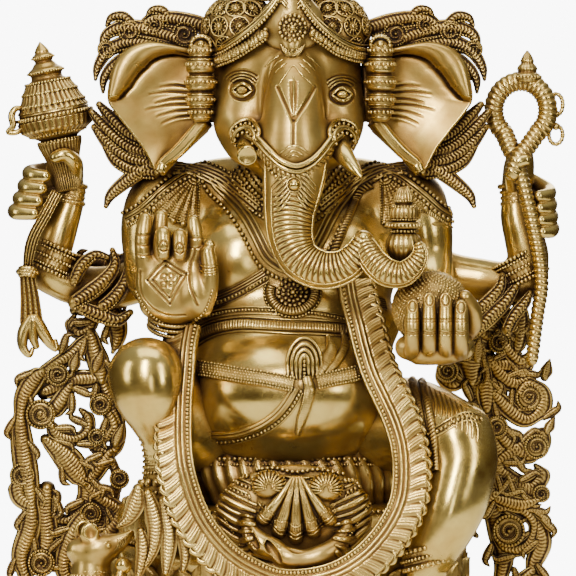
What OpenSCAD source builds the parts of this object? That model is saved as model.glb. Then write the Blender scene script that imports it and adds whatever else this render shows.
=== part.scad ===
// Seated elephant-headed devotional figure in cast brass, built up from separate castings.
// Millimetres, +Z up, front towards -Y. The origin is the centre of the plinth's underside.
// "Right" and "left" are the figure's own, so its right hand is on the viewer's left.

/* [Base] */
// Width of the plinth, side to side
base_w = 460; // [455:1:480]
// Depth of the plinth, front to back
base_d = 264; // [260:1:280]
// Height of the plinth
plinth_h = 60; // [50:1:70]
// Height of the lower lotus ring
lotus_base_h = 50; // [46:1:54]
// Height of the upper lotus throne
lotus_throne_h = 48; // [44:1:52]
// Height of the seat cushion
cushion_h = 36; // [32:1:40]
// Wall of the hollow castings
wall = 6; // [5:0.5:8]

/* [Figure] */
// Greatest half width of the belly
belly_r = 90; // [86:1:94]
// Depth of the belly in front of the body's centre line
belly_front = 88; // [84:1:90]
// Half width of the head across the cheeks
head_r = 60; // [56:1:62]
// Radius of the ball of sweets in the front left hand
sweets_r = 30; // [27:1:32]
// Thickness of the openwork side pillars
pillar_t = 18; // [14:1:22]

/* [Fixings] */
// Shank radius of the bolts that hold the castings together
bolt_r = 3; // [2.5:0.5:4]
// Radius of the dowels between the body and its head and arms
dowel_r = 4; // [3:0.5:5]
// Clearance around a bolt or a dowel
clearance = 0.15; // [0.1:0.05:0.3]

/* [Hidden] */

seat_z = plinth_h + lotus_base_h + lotus_throne_h + cushion_h;
plinth_top = plinth_h - seat_z;
lotus_base_top = plinth_top + lotus_base_h;
lotus_throne_top = lotus_base_top + lotus_throne_h;
round_fn = 48;
bronze = [0.72, 0.53, 0.25];
dark_bronze = [0.46, 0.31, 0.16];

// ---------- curves ----------
function lerp(a, b, t) = a + (b - a) * t;
function catmull(a, b, c, d, t) =
    0.5 * (2 * b + (c - a) * t + (2 * a - 5 * b + 4 * c - d) * t * t + (3 * b - a - 3 * c + d) * t * t * t);
function curve_at(p, s) =
    let (last = len(p) - 1, i = min(floor(s), last - 1), t = s - i)
    catmull(p[max(i - 1, 0)], p[i], p[i + 1], p[min(i + 2, last)], t);
function curve(p, n) = [for (k = [0:n - 1]) curve_at(p, (len(p) - 1) * k / (n - 1))];
function unit(v) = v / norm(v);
function place(row) = [row[0], row[1], row[2]];

// ---------- solids of rings ----------
// A closed solid through rings that all have the same number of points.
module ring_solid(rings) {
    m = len(rings[0]);
    n = len(rings);
    points = [for (r = rings) each r];
    sides = [for (i = [0:n - 2], j = [0:m - 1]) let (k = (j + 1) % m)
        each [[i * m + j, i * m + k, (i + 1) * m + k], [i * m + j, (i + 1) * m + k, (i + 1) * m + j]]];
    caps = [[for (j = [m - 1:-1:0]) j], [for (j = [0:m - 1]) (n - 1) * m + j]];
    polyhedron(points = points, faces = [for (f = concat(sides,
        caps)) [for (i = [len(f) - 1:-1:0]) f[i]]], convexity = 6);
}

// A limb: rows of [x, y, z, half width, half depth] along its centre line. "up" is the depth direction.
module limb(rows, n = 8, sides = 12, up = [0, -1, 0]) {
    path = curve(rows, n);
    rings = [for (i = [0:n - 1]) let (
        t = unit(place(path[min(i + 1, n - 1)]) - place(path[max(i - 1, 0)])),
        side = unit(cross(t, up)),
        depth = cross(side, t))
        [for (j = [0:sides - 1]) let (a = -360 * j / sides)
            place(path[i]) + side * path[i][3] * cos(a) + depth * path[i][4] * sin(a)]];
    ring_solid(rings);
}

// A body of level rings: rows of [z, centre y, half width, front depth, back depth].
module body_of_rings(rows, n = 12, sides = 20, inset = 0) {
    rings = [for (row = curve(rows, n))
        [for (j = [0:sides - 1]) let (a = 360 * j / sides)
            [(row[2] - inset) * cos(a),
             row[1] + sin(a) * (sin(a) > 0 ? row[4] - inset : row[3] - inset), row[0]]]];
    ring_solid(rings);
}

module ellipsoid(centre, radii, sides = 12) {
    body_rows = [for (k = [0:5]) let (a = -84 + 168 * k / 5) [sin(a) * radii[2], cos(a)]];
    rings = [for (row = body_rows) [for (j = [0:sides - 1]) let (a = 360 * j / sides)
        [centre[0] + radii[0] * row[1] * cos(a), centre[1] + radii[1] * row[1] * sin(a),
        centre[2] + row[0]]]];
    ring_solid(rings);
}

// Joins and cuts what it holds as one mesh.
module as_mesh() { resize([0, 0, 0]) children(); }

// The figure's own frame starts on the seat.
module on_seat() { translate([0, 0, seat_z]) children(); }

// ---------- flat castings, drawn in the x-z plane ----------
module upright(y, t) { translate([0, y + t, 0]) rotate([90, 0, 0]) linear_extrude(height = t) children(); }

// A vine: rows of [x, z, width] along its centre line.
module vine(rows, n = 12) {
    path = curve(rows, n);
    normals = [for (i = [0:n - 1]) let (
        a = path[max(i - 1, 0)], b = path[min(i + 1, n - 1)], t = unit([b[0] - a[0],
            b[1] - a[1]])) [-t[1], t[0]]];
    polygon(concat(
        [for (i = [0:n - 1]) [path[i][0], path[i][1]] + normals[i] * path[i][2] / 2],
        [for (i = [n - 1:-1:0]) [path[i][0], path[i][1]] - normals[i] * path[i][2] / 2]));
    for (end = [0, n - 1]) translate([path[end][0], path[end][1]]) circle(r = path[end][2] / 2, $fn = 8);
}

// ---------- lotus rings ----------
function lotus_ring(rx, ry, z, petals, depth, n) = [for (j = [0:n - 1]) let (
    a = 360 * j / n, swell = 1 + depth * abs(cos(petals * a / 2))) [rx * swell * cos(a),
        ry * swell * sin(a), z]];

module lotus(rows, petals, sides = 72) {
    ring_solid([for (r = rows) lotus_ring(r[1], r[2], r[0], petals, r[3], sides)]);
}

module oval(rx, ry, z0, z1, sides = 32) {
    ring_solid([for (z = [z0, z1]) lotus_ring(rx, ry, z, 2, 0, sides)]);
}

// ---------- base ----------
corner_r = 18;
core_rx = 122;
core_ry = 70;
bolt_x = 104;
bolt_y = 72;
bolt_places = [for (x = [-bolt_x, bolt_x], y = [-bolt_y, bolt_y]) [x, y]];
pillar_y = 36;
right_post_x = [-205, -176];
left_post_x = [168, 192];
post_places = [for (x = concat(right_post_x, left_post_x)) [x, pillar_y + pillar_t / 2]];

module rounded_slab(inset, z0, z1) {
    w = base_w - 2 * inset;
    d = base_d - 2 * inset;
    r = corner_r;
    translate([0, 0, z0]) linear_extrude(height = z1 - z0) {
        square([w - 2 * r, d], center = true);
        square([w, d - 2 * r], center = true);
        for (x = [-1, 1], y = [-1, 1]) translate([x * (w / 2 - r), y * (d / 2 - r)]) circle(r = r,
            $fn = round_fn);
    }
}

module base_plinth() {
    foot_h = plinth_h * 0.28;
    waist_top = plinth_h * 0.74;
    color(bronze) difference() {
        union() {
            rounded_slab(0, 0, foot_h);
            rounded_slab(7, foot_h, foot_h + 6);
            rounded_slab(14, foot_h + 6, waist_top - 4);
            rounded_slab(8, waist_top - 4, waist_top);
            rounded_slab(3, waist_top, plinth_h);
        }
        translate([-base_w / 2 + 14 + wall, -base_d / 2 + 14 + wall, -1])
            cube([base_w - 28 - 2 * wall, base_d - 28 - 2 * wall, plinth_h + 1 - wall]);
        translate([-core_rx, -core_ry, 0]) cube([2 * core_rx, 2 * core_ry, plinth_h + 1]);
        for (p = concat(bolt_places, post_places))
            translate([p[0], p[1], 0]) cylinder(r = bolt_r + clearance, h = plinth_h + 1, $fn = round_fn);
    }
}

// Castings on the base are hollow and share one open core.
module core_cut(z0, z1, rx, ry) { oval(rx, ry, z0, z1, 24); }

module lotus_base() {
    z = plinth_h;
    h = lotus_base_h;
    color(bronze) as_mesh() difference() {
        lotus([[z, 168, 108, 0.03], [z + h * 0.3, 162, 104, 0.05], [z + h * 0.7, 140, 92, 0.03],
            [z + h, 136, 88, 0]], 24);
        core_cut(z - 1, z + h + 1, core_rx, core_ry);
        for (p = bolt_places) translate([p[0], p[1],
            z - 1]) cylinder(r = bolt_r + clearance, h = 25, $fn = 20);
    }
}

module lotus_throne() {
    z = plinth_h + lotus_base_h;
    h = lotus_throne_h;
    color(bronze) as_mesh() difference() {
        lotus([[z, 132, 80, 0], [z + h * 0.45, 138, 88, 0.03], [z + h, 146, 98, 0.04]], 24);
        core_cut(z - 1, z + h + 1, core_rx, core_ry);
    }
}

module seat_cushion() {
    z = seat_z - cushion_h;
    h = cushion_h;
    color(bronze) as_mesh() difference() {
        lotus([[z, 130, 78, 0], [z + h * 0.3, 138, 84, 0], [z + h * 0.75, 138, 84, 0],
            [z + h, 130, 78, 0]], 2, 36);
        core_cut(z - 1, z + h - 10, core_rx, core_ry);
        core_cut(z - 1, z + h + 1, 56, 40);
    }
}

foot_lotus_at = [107, -98];
module foot_lotus() {
    h = lotus_base_h;
    color(bronze) translate([foot_lotus_at[0], foot_lotus_at[1], plinth_h])
        difference() {
            rotate_extrude($fn = round_fn)
                polygon([[0, 0], [27, 0], [28, 8], [23, 16], [17, 24], [19, 33], [26, h - 5], [26, h],
                    [0, h]]);
            // Relief where the ring of the lower lotus stands behind it.
            translate([-foot_lotus_at[0], -foot_lotus_at[1], -1]) linear_extrude(height = h + 2)
                polygon([for (j = [0:71]) let (a = 5 * j) [178 * cos(a), 114 * sin(a)]]);
        }
}

// ---------- body ----------
torso_rows = [
    [22, 2, 66, 66, 56], [34, 0, belly_r - 11, belly_front - 11, 58],
    [50, -2, belly_r - 3, belly_front - 3, 60],
    [72, -4, belly_r, belly_front, 60], [94, -4, belly_r - 2, belly_front - 3, 58],
    [116, -2, belly_r - 7, 76, 56],
    [136, 0, 78, 64, 54], [150, 2, 76, 59, 52], [172, 4, 80, 58, 52], [196, 6, 90, 60, 50],
    [218, 8, 98, 58, 48], [236, 10, 98, 50, 46], [250, 10, 80, 42, 40], [262, 8, 52, 36, 34]];
dowel_places = [
    [[0, 2, 250], [0, 0, 1]], [[-88, 24, 212], [-1, 0.1, -0.3]], [[88, 24, 212], [1, 0.1, -0.3]],
    [[-94, 4, 236], [-1, 0, 0]], [[94, 4, 236], [1, 0, 0]]];
dowel_len = 24;

module dowels(r) {
    for (d = dowel_places)
        translate(d[0]) rotate([0, 0, atan2(d[1][1], d[1][0])]) rotate([0, acos(d[1][2] / norm(d[1])), 0])
            cylinder(r = r, h = dowel_len, center = true, $fn = 20);
}

module torso_solid() { body_of_rings(torso_rows, 15, 20); }

module torso() {
    core_rows = [for (r = torso_rows) if (r[0] < 230) r];
    color(bronze) on_seat() as_mesh() difference() {
        torso_solid();
        body_of_rings(core_rows, 7, 12, wall + 4);
        oval(40, 36, -1, 40, 16);
        dowels(dowel_r + clearance);
    }
}

module waist_cloth_solid() {
    body_of_rings([[0, 0, 94, 74, 62], [12, 0, 98, 76, 64], [28, 0, 94, 72, 64], [44, 0, 88, 60, 62]], 7, 24);
}

module waist_cloth() {
    color(bronze) on_seat() as_mesh() difference() {
        waist_cloth_solid();
        torso_solid();
        oval(56, 40, -1, 60, 20);
    }
}

right_thigh = [[-54, -14, 36, 36, 34], [-82, -44, 66, 34, 33], [-104, -70, 90, 31, 30],
    [-115, -80, 104, 27, 27]];
right_shin = [[-115, -80, 124, 12, 12], [-116, -82, 114, 24, 22], [-115, -84, 95, 28, 26],
    [-109, -82, 70, 21, 20],
    [-102, -76, 50, 14, 14], [-101, -70, 28, 13, 14], [-102, -64, 0, 14, 15], [-102, -60, -20, 16, 17]];
right_foot = [[-100, -44, -20, 12, 13], [-101, -62, -20, 17, 14], [-104, -80, -24, 19, 11],
    [-106, -94, -28, 16, 6]];
left_thigh = [[54, -14, 32, 36, 32], [86, -42, 50, 36, 33], [118, -66, 62, 34, 32], [136, -80, 64, 28, 28]];
left_shin = [[142, -84, 84, 12, 12], [140, -86, 74, 24, 24], [136, -88, 53, 31, 28], [130, -92, 25, 28, 25],
    [118, -96, -7, 21, 19], [108, -96, -34, 15, 15], [107, -94, -62, 15, 17]];
left_foot = [[108, -80, -72, 12, 11], [106, -94, -71, 16, 12], [103, -108, -76, 16, 8],
    [102, -118, -79, 13, 5]];
across = [1, 0, 0];

module right_leg_solid() {
    limb(right_thigh, 6, 14, across);
    limb(right_shin, 11, 14, [0, -1, 0]);
    limb(right_foot, 6, 12, [0, 0, 1]);
}

module left_leg_solid() {
    limb(left_thigh, 6, 14, across);
    limb(left_shin, 11, 14, [0, -1, 0]);
    limb(left_foot, 6, 12, [0, 0, 1]);
}

module right_leg() {
    color(bronze) on_seat() as_mesh() difference() {
        right_leg_solid();
        torso_solid();
        waist_cloth_solid();
        translate([-200, -200, -cushion_h - 60]) cube([200, 400, 60]);
        translate([0, 0, -cushion_h]) oval(139, 85, -1, cushion_h, 36);
    }
}

module left_leg() {
    color(bronze) on_seat() as_mesh() difference() {
        left_leg_solid();
        torso_solid();
        waist_cloth_solid();
        translate([0, 0, -seat_z]) oval(153, 103, 0, seat_z, 36);
        translate([50, -200, lotus_base_top - 60]) cube([120, 160, 60]);
    }
}

pleat_t = 11;
pleats_y = -114;
module front_pleats() {
    color(bronze) on_seat() upright(pleats_y, pleat_t) polygon([
        [-59, 29], [-29, 37], [0, 33], [34, 37], [70, 29], [64, -8], [40, -33], [4, -42], [-36, -33],
        [-59, -3]]);
}

belt_path = [[-88, 104], [-60, 100], [-30, 94], [-6, 90], [20, 96], [50, 100], [74, 112]];
function front_of_torso(x, z) =
    let (rows = [for (r = torso_rows) if (r[0] <= z) r], lo = rows[len(rows) - 1],
        hi = torso_rows[min(len(rows), len(torso_rows) - 1)],
        t = hi[0] > lo[0] ? (z - lo[0]) / (hi[0] - lo[0]) : 0, row = lerp(lo, hi, t),
        s = min(0.97, abs(x) / row[2]))
    row[1] - row[3] * sqrt(1 - s * s);

module snake_belt() {
    rows = [for (p = belt_path) [p[0], front_of_torso(p[0], p[1]) - 2, p[1], 3, 8]];
    color(bronze) on_seat() as_mesh() difference() {
        union() {
            limb(rows, 16, 8, [0, 0, 1]);
            ellipsoid([8, -94, 102], [11, 9, 17], 10);
            limb([[8, -94, 92, 6, 4], [12, -96, 74, 6, 4], [10, -96, 50, 3, 3]], 5, 8);
        }
        torso_solid();
    }
}

necklace_path = [[-66, 248], [-52, 222], [-34, 196], [-14, 178], [8, 170], [30, 180], [50, 198],
    [66, 224], [76, 246]];
module necklace() {
    rows = [for (p = necklace_path) [p[0], front_of_torso(p[0], p[1]) - 2, p[1], 5, 4]];
    color(bronze) on_seat() as_mesh() difference() {
        union() {
            limb(rows, 16, 8);
            translate([8, front_of_torso(8, 164) + 2, 164]) rotate([90, 0, 0]) cylinder(r = 15, h = 8,
                $fn = 20);
        }
        torso_solid();
    }
}

module belly_band() {
    rows = [for (x = [-74:18.5:74]) [x, front_of_torso(x, 140) - 1, 140, 3.5, 9]];
    color(bronze) on_seat() as_mesh() difference() {
        limb(rows, 13, 8, [0, 0, 1]);
        torso_solid();
    }
}

// The long garland hangs clear in front of the knees and below the belly.
garland_path = [
    [49, -68, 162], [56, -78, 132], [69, -88, 102], [80, -98, 72], [86, -108, 42], [84, -115, 12],
    [71, -119, -17],
    [44, -120, -45], [4, -120, -58], [-34, -120, -47], [-59, -119, -21], [-74, -118, 9], [-84, -118, 40],
    [-87, -116, 70], [-86, -104, 95], [-83, -92, 123]];
module garland() {
    color(bronze) on_seat() as_mesh() difference() {
        limb([for (p = garland_path) [p[0], p[1], p[2], 10, 4]], 34, 8);
        torso_solid();
        right_leg_solid();
        left_leg_solid();
        translate([-100, pleats_y, -200]) cube([200, 200, 228]);
    }
}

// ---------- head ----------
head_rows = [
    [254, -8, 30, 34, 36], [262, -14, 44, 46, 44], [274, -20, head_r - 6, 52, 48], [292, -24, head_r, 54, 52],
    [312, -26, head_r, 54, 56], [332, -26, head_r - 2, 54, 58], [352, -24, head_r - 4, 52, 56],
    [372, -20, head_r - 14, 46, 50], [388, -16, 34, 34, 38], [396, -14, 16, 16, 18]];
trunk_rows = [
    [0, -62, 339, 16, 10], [0, -74, 316, 23, 18], [0, -82, 290, 26, 22], [0, -88, 264, 25, 21],
    [-1, -92, 238, 22, 18],
    [0, -96, 213, 19, 17], [8, -99, 195, 18, 16], [25, -102, 186, 16, 15], [44, -104, 190, 13, 13],
    [57, -105, 203, 11, 12]];
trunk_tip_rows = [
    [59, -108, 212, 7, 7], [63, -112, 203, 10, 10], [68, -115, 193, 11, 10], [78, -117, 185, 10, 10],
    [89, -116, 186, 9, 9], [97, -115, 195, 7, 7], [99, -113, 206, 4, 4]];

module head_solid() { body_of_rings(head_rows, 13, 18); }

module trunk_solid() {
    limb(trunk_rows, 16, 12);
    limb(trunk_tip_rows, 12, 9);
}

module head() {
    color(bronze) on_seat() as_mesh() difference() {
        head_solid();
        torso_solid();
        trunk_solid();
        dowels(dowel_r + clearance);
    }
}

module trunk() {
    color(bronze) on_seat() as_mesh() trunk_solid();
}

module broken_tusk() {
    color(bronze) on_seat() as_mesh() difference() {
        limb([[-32, -62, 286, 8, 8], [-34, -78, 272, 8, 9], [-35, -86, 266, 7, 10]], 4, 12, across);
        head_solid();
        trunk_solid();
    }
}

module whole_tusk() {
    color(bronze) on_seat() as_mesh() difference() {
        limb([[34, -62, 286, 8, 8], [39, -76, 276, 8, 8], [46, -88, 266, 6, 6], [54, -96, 259, 2, 2]],
            6, 12, across);
        head_solid();
        trunk_solid();
    }
}

ear_outline = [
    [-64, 326], [-72, 344], [-84, 356], [-104, 364], [-122, 362], [-136, 350], [-144, 334], [-146, 318],
    [-142, 306], [-130, 290], [-118, 274], [-108, 258], [-98, 268], [-84, 282], [-74, 296], [-66, 310]];
ear_t = 9;
ear_y = -30;

module ear(side) {
    mirror([side, 0, 0]) upright(ear_y, ear_t) polygon(ear_outline);
}

module right_ear() {
    color(bronze) on_seat() as_mesh() difference() { ear(0); head_solid(); }
}

module left_ear() {
    color(bronze) on_seat() as_mesh() difference() { ear(1); head_solid(); }
}

// Drop of beads beside the ear, a turned shape.
module ear_pendant(x) {
    color(bronze) on_seat() translate([x, -46, 296]) rotate_extrude($fn = round_fn)
        polygon([[0, 0], [5, 1], [9, 6], [7, 12], [10, 17], [10, 23], [8, 26], [11, 31], [11, 37],
            [8, 41], [10, 46],
            [7, 53], [0, 57]]);
}

module right_ear_pendant() { ear_pendant(-74); }
module left_ear_pendant() { ear_pendant(74); }

plume_rows = [
    [[-70, 366, 16], [-84, 378, 16], [-104, 384, 16], [-124, 380, 15], [-140, 366, 14], [-152, 356, 5]],
    [[-120, 330, 20], [-140, 342, 14], [-152, 346, 6]],
    [[-104, 292, 30], [-128, 290, 34], [-146, 298, 26], [-158, 304, 10]],
    [[-100, 276, 22], [-122, 266, 24], [-142, 250, 16], [-152, 232, 6]]];
plume_t = 10;
plume_y = -17;
module plume(side) {
    mirror([side, 0, 0]) upright(plume_y, plume_t) offset(delta = 0.01) union() {
        for (row = plume_rows) vine(row, 10);
        vine([[-96, 376, 24], [-110, 340, 34], [-112, 300, 34], [-100, 270, 20]], 10);
    }
}

module right_plume() {
    color(dark_bronze) on_seat() as_mesh() difference() { plume(0); head_solid(); torso_solid(); }
}

module left_plume() {
    color(dark_bronze) on_seat() as_mesh() difference() { plume(1); head_solid(); torso_solid(); }
}

// ---------- crown ----------
crown_z = 386;
module dome(side) {
    ellipsoid([side * 38, -34, 376], [32, 34, 28], 14);
}

module diadem() {
    color(bronze) on_seat() as_mesh() difference() {
        union() {
            dome(-1);
            dome(1);
            limb([[-66, -36, 346, 4, 8], [-48, -68, 352, 4, 8], [-20, -82, 366, 4, 8], [0, -84, 374, 4, 9],
                [20, -82, 366, 4, 8], [48, -68, 352, 4, 8], [66, -36, 346, 4, 8]], 11, 6, [0, 0, 1]);
            ellipsoid([0, -74, 372], [20, 14, 18], 12);
        }
        head_solid();
        translate([0, -16, 360]) cylinder(r = 35, h = 80, $fn = 36);
    }
}

module crown() {
    color(bronze) on_seat() translate([0, -16, crown_z + 10]) rotate_extrude($fn = round_fn)
        polygon([[0, 0], [34, 0], [35, 4], [32, 8], [34, 14], [35, 18], [29, 23], [31, 29], [31, 33],
            [26, 37],
            [27, 43], [27, 46], [22, 50], [23, 56], [23, 58], [17, 62], [18, 68], [18, 70], [11, 74],
            [11, 78], [0, 78]]);
}

module crown_finial() {
    color(bronze) on_seat() translate([0, -16, crown_z + 88]) rotate_extrude($fn = round_fn)
        polygon([[0, 0], [9, 0], [11, 4], [10, 8], [5, 11], [8, 15], [9, 19], [6, 24], [3, 28], [1, 32],
            [0, 32]]);
}

// ---------- front arms ----------
front_right_arm_rows = [
    [-92, 6, 250, 14, 16], [-104, 4, 240, 22, 22], [-112, 2, 218, 21, 22], [-115, 0, 194, 18, 19],
    [-113, -14, 175, 17, 17], [-102, -40, 168, 16, 17], [-92, -64, 167, 14, 15]];
front_left_arm_rows = [
    [92, 6, 250, 14, 16], [104, 4, 240, 22, 22], [116, 0, 216, 21, 22], [124, -2, 194, 18, 19],
    [126, -16, 173, 17, 17], [118, -42, 158, 16, 16], [112, -62, 148, 14, 14]];

module front_right_arm() {
    color(bronze) on_seat() as_mesh() difference() {
        limb(front_right_arm_rows, 12, 14, across);
        torso_solid();
        dowels(dowel_r + clearance);
    }
}

module front_left_arm() {
    color(bronze) on_seat() as_mesh() difference() {
        limb(front_left_arm_rows, 12, 14, across);
        torso_solid();
        translate(sweets_at) sphere(r = sweets_r, $fn = 24);
        dowels(dowel_r + clearance);
    }
}

module finger(rows, r) { limb([for (p = rows) [p[0], p[1], p[2], r, r]], 4, 7, across); }

right_palm = [-89, -76, 176];
module front_right_hand_solid() {
    translate(right_palm) {
        limb([[0, 12, -24, 14, 8], [0, 4, -16, 22, 13], [0, -2, 0, 26, 13], [0, -3, 16, 25, 11],
            [0, -2, 24, 22, 9]], 7, 14);
        finger([[-18, -3, 20], [-20, -6, 33], [-19, -4, 50]], 6.5);
        finger([[-6, -4, 22], [-6, -12, 34], [-5, -10, 45]], 6.5);
        finger([[7, -4, 22], [9, -12, 33], [9, -8, 43]], 6.5);
        finger([[18, -4, 14], [22, -9, 27], [21, -6, 41]], 6.5);
        finger([[21, 2, -4], [27, -6, 6], [29, -8, 19]], 6.5);
    }
}

module front_right_hand() {
    color(bronze) on_seat() as_mesh() difference() {
        front_right_hand_solid();
        limb(front_right_arm_rows, 12, 14, across);
    }
}

sweets_at = [109, -90, 156];
module sweets_ball() {
    color(bronze) on_seat() translate(sweets_at) sphere(r = sweets_r, $fn = round_fn);
}

module front_left_hand() {
    color(bronze) on_seat() as_mesh() difference() {
        union() {
            limb([[113, -58, 141, 16, 11], [109, -78, 128, 26, 10], [107, -98, 128, 28, 10],
                [107, -112, 132, 26, 8]],
                6, 12, [0, 0, 1]);
            for (k = [0:3]) let (x = 93 + 12.4 * k)
                finger([[x, -104, 128], [x, -120, 136], [x, -123, 150], [x, -119, 164]], 5.5);
            finger([[135, -80, 134], [142, -92, 148], [138, -100, 164]], 6.5);
        }
        limb(front_left_arm_rows, 12, 14, across);
        translate(sweets_at) sphere(r = sweets_r + clearance, $fn = 32);
    }
}

module trunk_sweet() {
    color(bronze) on_seat() translate([86, -100, 204]) rotate_extrude($fn = round_fn)
        polygon([[0, -9], [7, -8], [12, -1], [12, 5], [8, 10], [10, 14], [10, 18], [6, 21], [8, 25],
            [7, 30], [3, 34],
            [0, 36]]);
}

// ---------- rear arms ----------
rear_right_upper = [[-76, 26, 212, 14, 14], [-96, 28, 196, 17, 17], [-122, 28, 172, 17, 17],
    [-152, 22, 166, 16, 16],
    [-178, 14, 176, 15, 15], [-188, 12, 190, 12, 12]];
rear_right_fore = [[-186, 12, 176, 12, 12], [-184, 12, 192, 14, 14], [-178, 12, 216, 12, 12],
    [-172, 12, 240, 9, 9],
    [-172, 12, 248, 9, 9]];
rear_left_upper = [[76, 26, 212, 14, 14], [96, 28, 198, 17, 17], [124, 28, 180, 17, 17],
    [154, 22, 172, 16, 16],
    [180, 14, 174, 15, 15], [190, 12, 188, 12, 12]];
rear_left_fore = [[189, 12, 176, 14, 14], [190, 11, 192, 16, 16], [184, 11, 216, 14, 14],
    [181, 12, 238, 11, 11],
    [181, 12, 248, 10, 10]];

module rear_arm(upper, fore) {
    color(bronze) on_seat() as_mesh() difference() {
        union() { limb(upper, 9, 12, [0, 1, 0]); limb(fore, 7, 12); }
        torso_solid();
        limb(front_right_arm_rows, 12, 14, across);
        limb(front_left_arm_rows, 12, 14, across);
        dowels(dowel_r + clearance);
    }
}

module rear_right_arm() { rear_arm(rear_right_upper, rear_right_fore); }
module rear_left_arm() { rear_arm(rear_left_upper, rear_left_fore); }

module rear_right_hand() {
    color(bronze) on_seat() as_mesh() difference() {
        union() {
            limb([[-172, 12, 244, 9, 8], [-178, 10, 256, 12, 10], [-186, 8, 268, 12, 9]], 5, 12);
            for (k = [0:3]) let (z = 272 - 9 * k)
                finger([[-182, 16, z - 2], [-200, 12, z - 2], [-212, 0, z - 4], [-204, -6, z - 6]], 5.2);
        }
        limb(rear_right_fore, 7, 12);
        goad_place() cylinder(r = 8.3, h = 60, center = true, $fn = 24);
    }
}

module rear_left_hand() {
    color(bronze) on_seat() as_mesh() difference() {
        union() {
            limb([[181, 12, 244, 10, 9], [182, 10, 256, 12, 11], [185, 8, 268, 11, 9]], 5, 12);
            for (k = [0:3]) let (z = 246 - 9.6 * k)
                finger([[184, 18, z + 10], [197, 18, z + 4], [207, 8, z - 2], [205, -6, z - 5]], 5.4);
        }
        limb(rear_left_fore, 7, 12);
        noose_solid();
        limb(noose_tail_rows, 11, 8);
    }
}

// ---------- bands ----------
module arm_band(at, turn, r, h) {
    translate(at) rotate([0, turn, 0]) cylinder(r = r, h = h, center = true, $fn = 24);
}

module right_armlet() {
    color(bronze) on_seat() as_mesh() difference() {
        arm_band([-188, 12, 191], 10, 19, 20);
        limb(rear_right_upper, 9, 12, [0, 1, 0]);
        limb(rear_right_fore, 7, 12);
        limb(right_scarf_rows, 10, 8);
    }
}

module left_armlet() {
    color(bronze) on_seat() as_mesh() difference() {
        arm_band([184, 12, 186], -8, 18, 18);
        limb(rear_left_upper, 9, 12, [0, 1, 0]);
        limb(rear_left_fore, 7, 12);
        limb(noose_tail_rows, 11, 8);
    }
}

module left_anklet() {
    color(bronze) on_seat() as_mesh() difference() {
        arm_band([108, -96, -34], -6, 20, 16);
        left_leg_solid();
        translate([0, 0, -seat_z]) oval(153, 103, 0, seat_z, 36);
    }
}

// ---------- what the hands hold ----------
module goad_place() { translate([-181, 4, 270]) rotate([0, -11, 0]) children(); }

module goad() {
    color(bronze) on_seat() goad_place() rotate_extrude($fn = round_fn)
        polygon([[0, -24], [8, -24], [8, -6], [11, 2], [16, 8], [17, 12], [13, 15], [20, 20], [27, 27],
            [27, 38], [25, 42],
            [26, 44], [21, 51], [19, 54], [19, 57], [14, 60], [15, 65], [13, 70], [7, 73], [9, 79],
            [8, 84], [4, 91],
            [0, 95]]);
}

noose_at = [184, 2, 308];
noose_r = 21;
rope_r = 7;
noose_open = 80;
noose_rows = [for (k = [0:12]) let (a = -90 + noose_open / 2 + (360 - noose_open) * k / 12)
    [noose_at[0] + noose_r * cos(a), noose_at[1] - 3 + k / 2, noose_at[2] + 1.12 * noose_r * sin(a),
    rope_r, rope_r]];
module noose_solid() {
    limb(noose_rows, 19, 8);
    translate(noose_at) {
        limb([[-13, 2, -18, 7, 7], [-8, -2, -30, 7, 7], [-2, -4, -42, 7, 7], [0, -6, -54, 6, 6]], 6, 10);
        limb([[13, -3, -18, 7, 7], [6, -6, -28, 7, 7], [-2, -10, -38, 6, 6], [-7, -12, -50, 6, 6]], 6, 10);
    }
}

module noose() {
    color(bronze) on_seat() as_mesh() union() {
        noose_solid();
        translate([noose_at[0] + 5, noose_at[1], noose_at[2] + 28]) cylinder(r1 = 10, r2 = 1, h = 20,
            $fn = 20);
        limb([[208, 2, 300, 3, 4], [216, 2, 308, 4, 6], [222, 2, 316, 3, 5]], 5, 8);
        limb([[208, 2, 298, 3, 4], [214, 2, 288, 5, 6], [218, 2, 278, 3, 4]], 5, 8);
    }
}

noose_tail_rows = [[186, -6, 262, 6, 6], [190, -8, 240, 6, 6], [198, -6, 214, 6, 6], [203, 0, 190, 6, 6],
    [202, 2, 160, 6, 6], [197, 2, 134, 5.5, 5.5], [191, 2, 112, 5, 5]];
module noose_tail() {
    color(bronze) on_seat() as_mesh() difference() {
        limb(noose_tail_rows, 11, 8);
        noose_solid();
        limb(rear_left_upper, 9, 12, [0, 1, 0]);
        limb(rear_left_fore, 7, 12);
    }
}

right_scarf_rows = [[-196, -8, 244, 7, 3], [-205, -10, 222, 8, 4], [-211, -9, 196, 9, 4],
    [-210, -6, 172, 9, 4],
    [-208, -2, 150, 8, 4], [-206, 0, 136, 6, 4]];
module right_scarf() {
    color(bronze) on_seat() as_mesh() difference() {
        union() {
            limb(right_scarf_rows, 10, 8);
            limb([[-206, 0, 140, 5, 4], [-213, 0, 130, 4, 4], [-211, 0, 118, 3, 3]], 4, 8);
            limb([[-204, 0, 140, 5, 4], [-196, 0, 130, 5, 4], [-191, 0, 118, 3, 3]], 4, 8);
        }
        limb(rear_right_upper, 9, 12, [0, 1, 0]);
        limb(rear_right_fore, 7, 12);
    }
}

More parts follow.
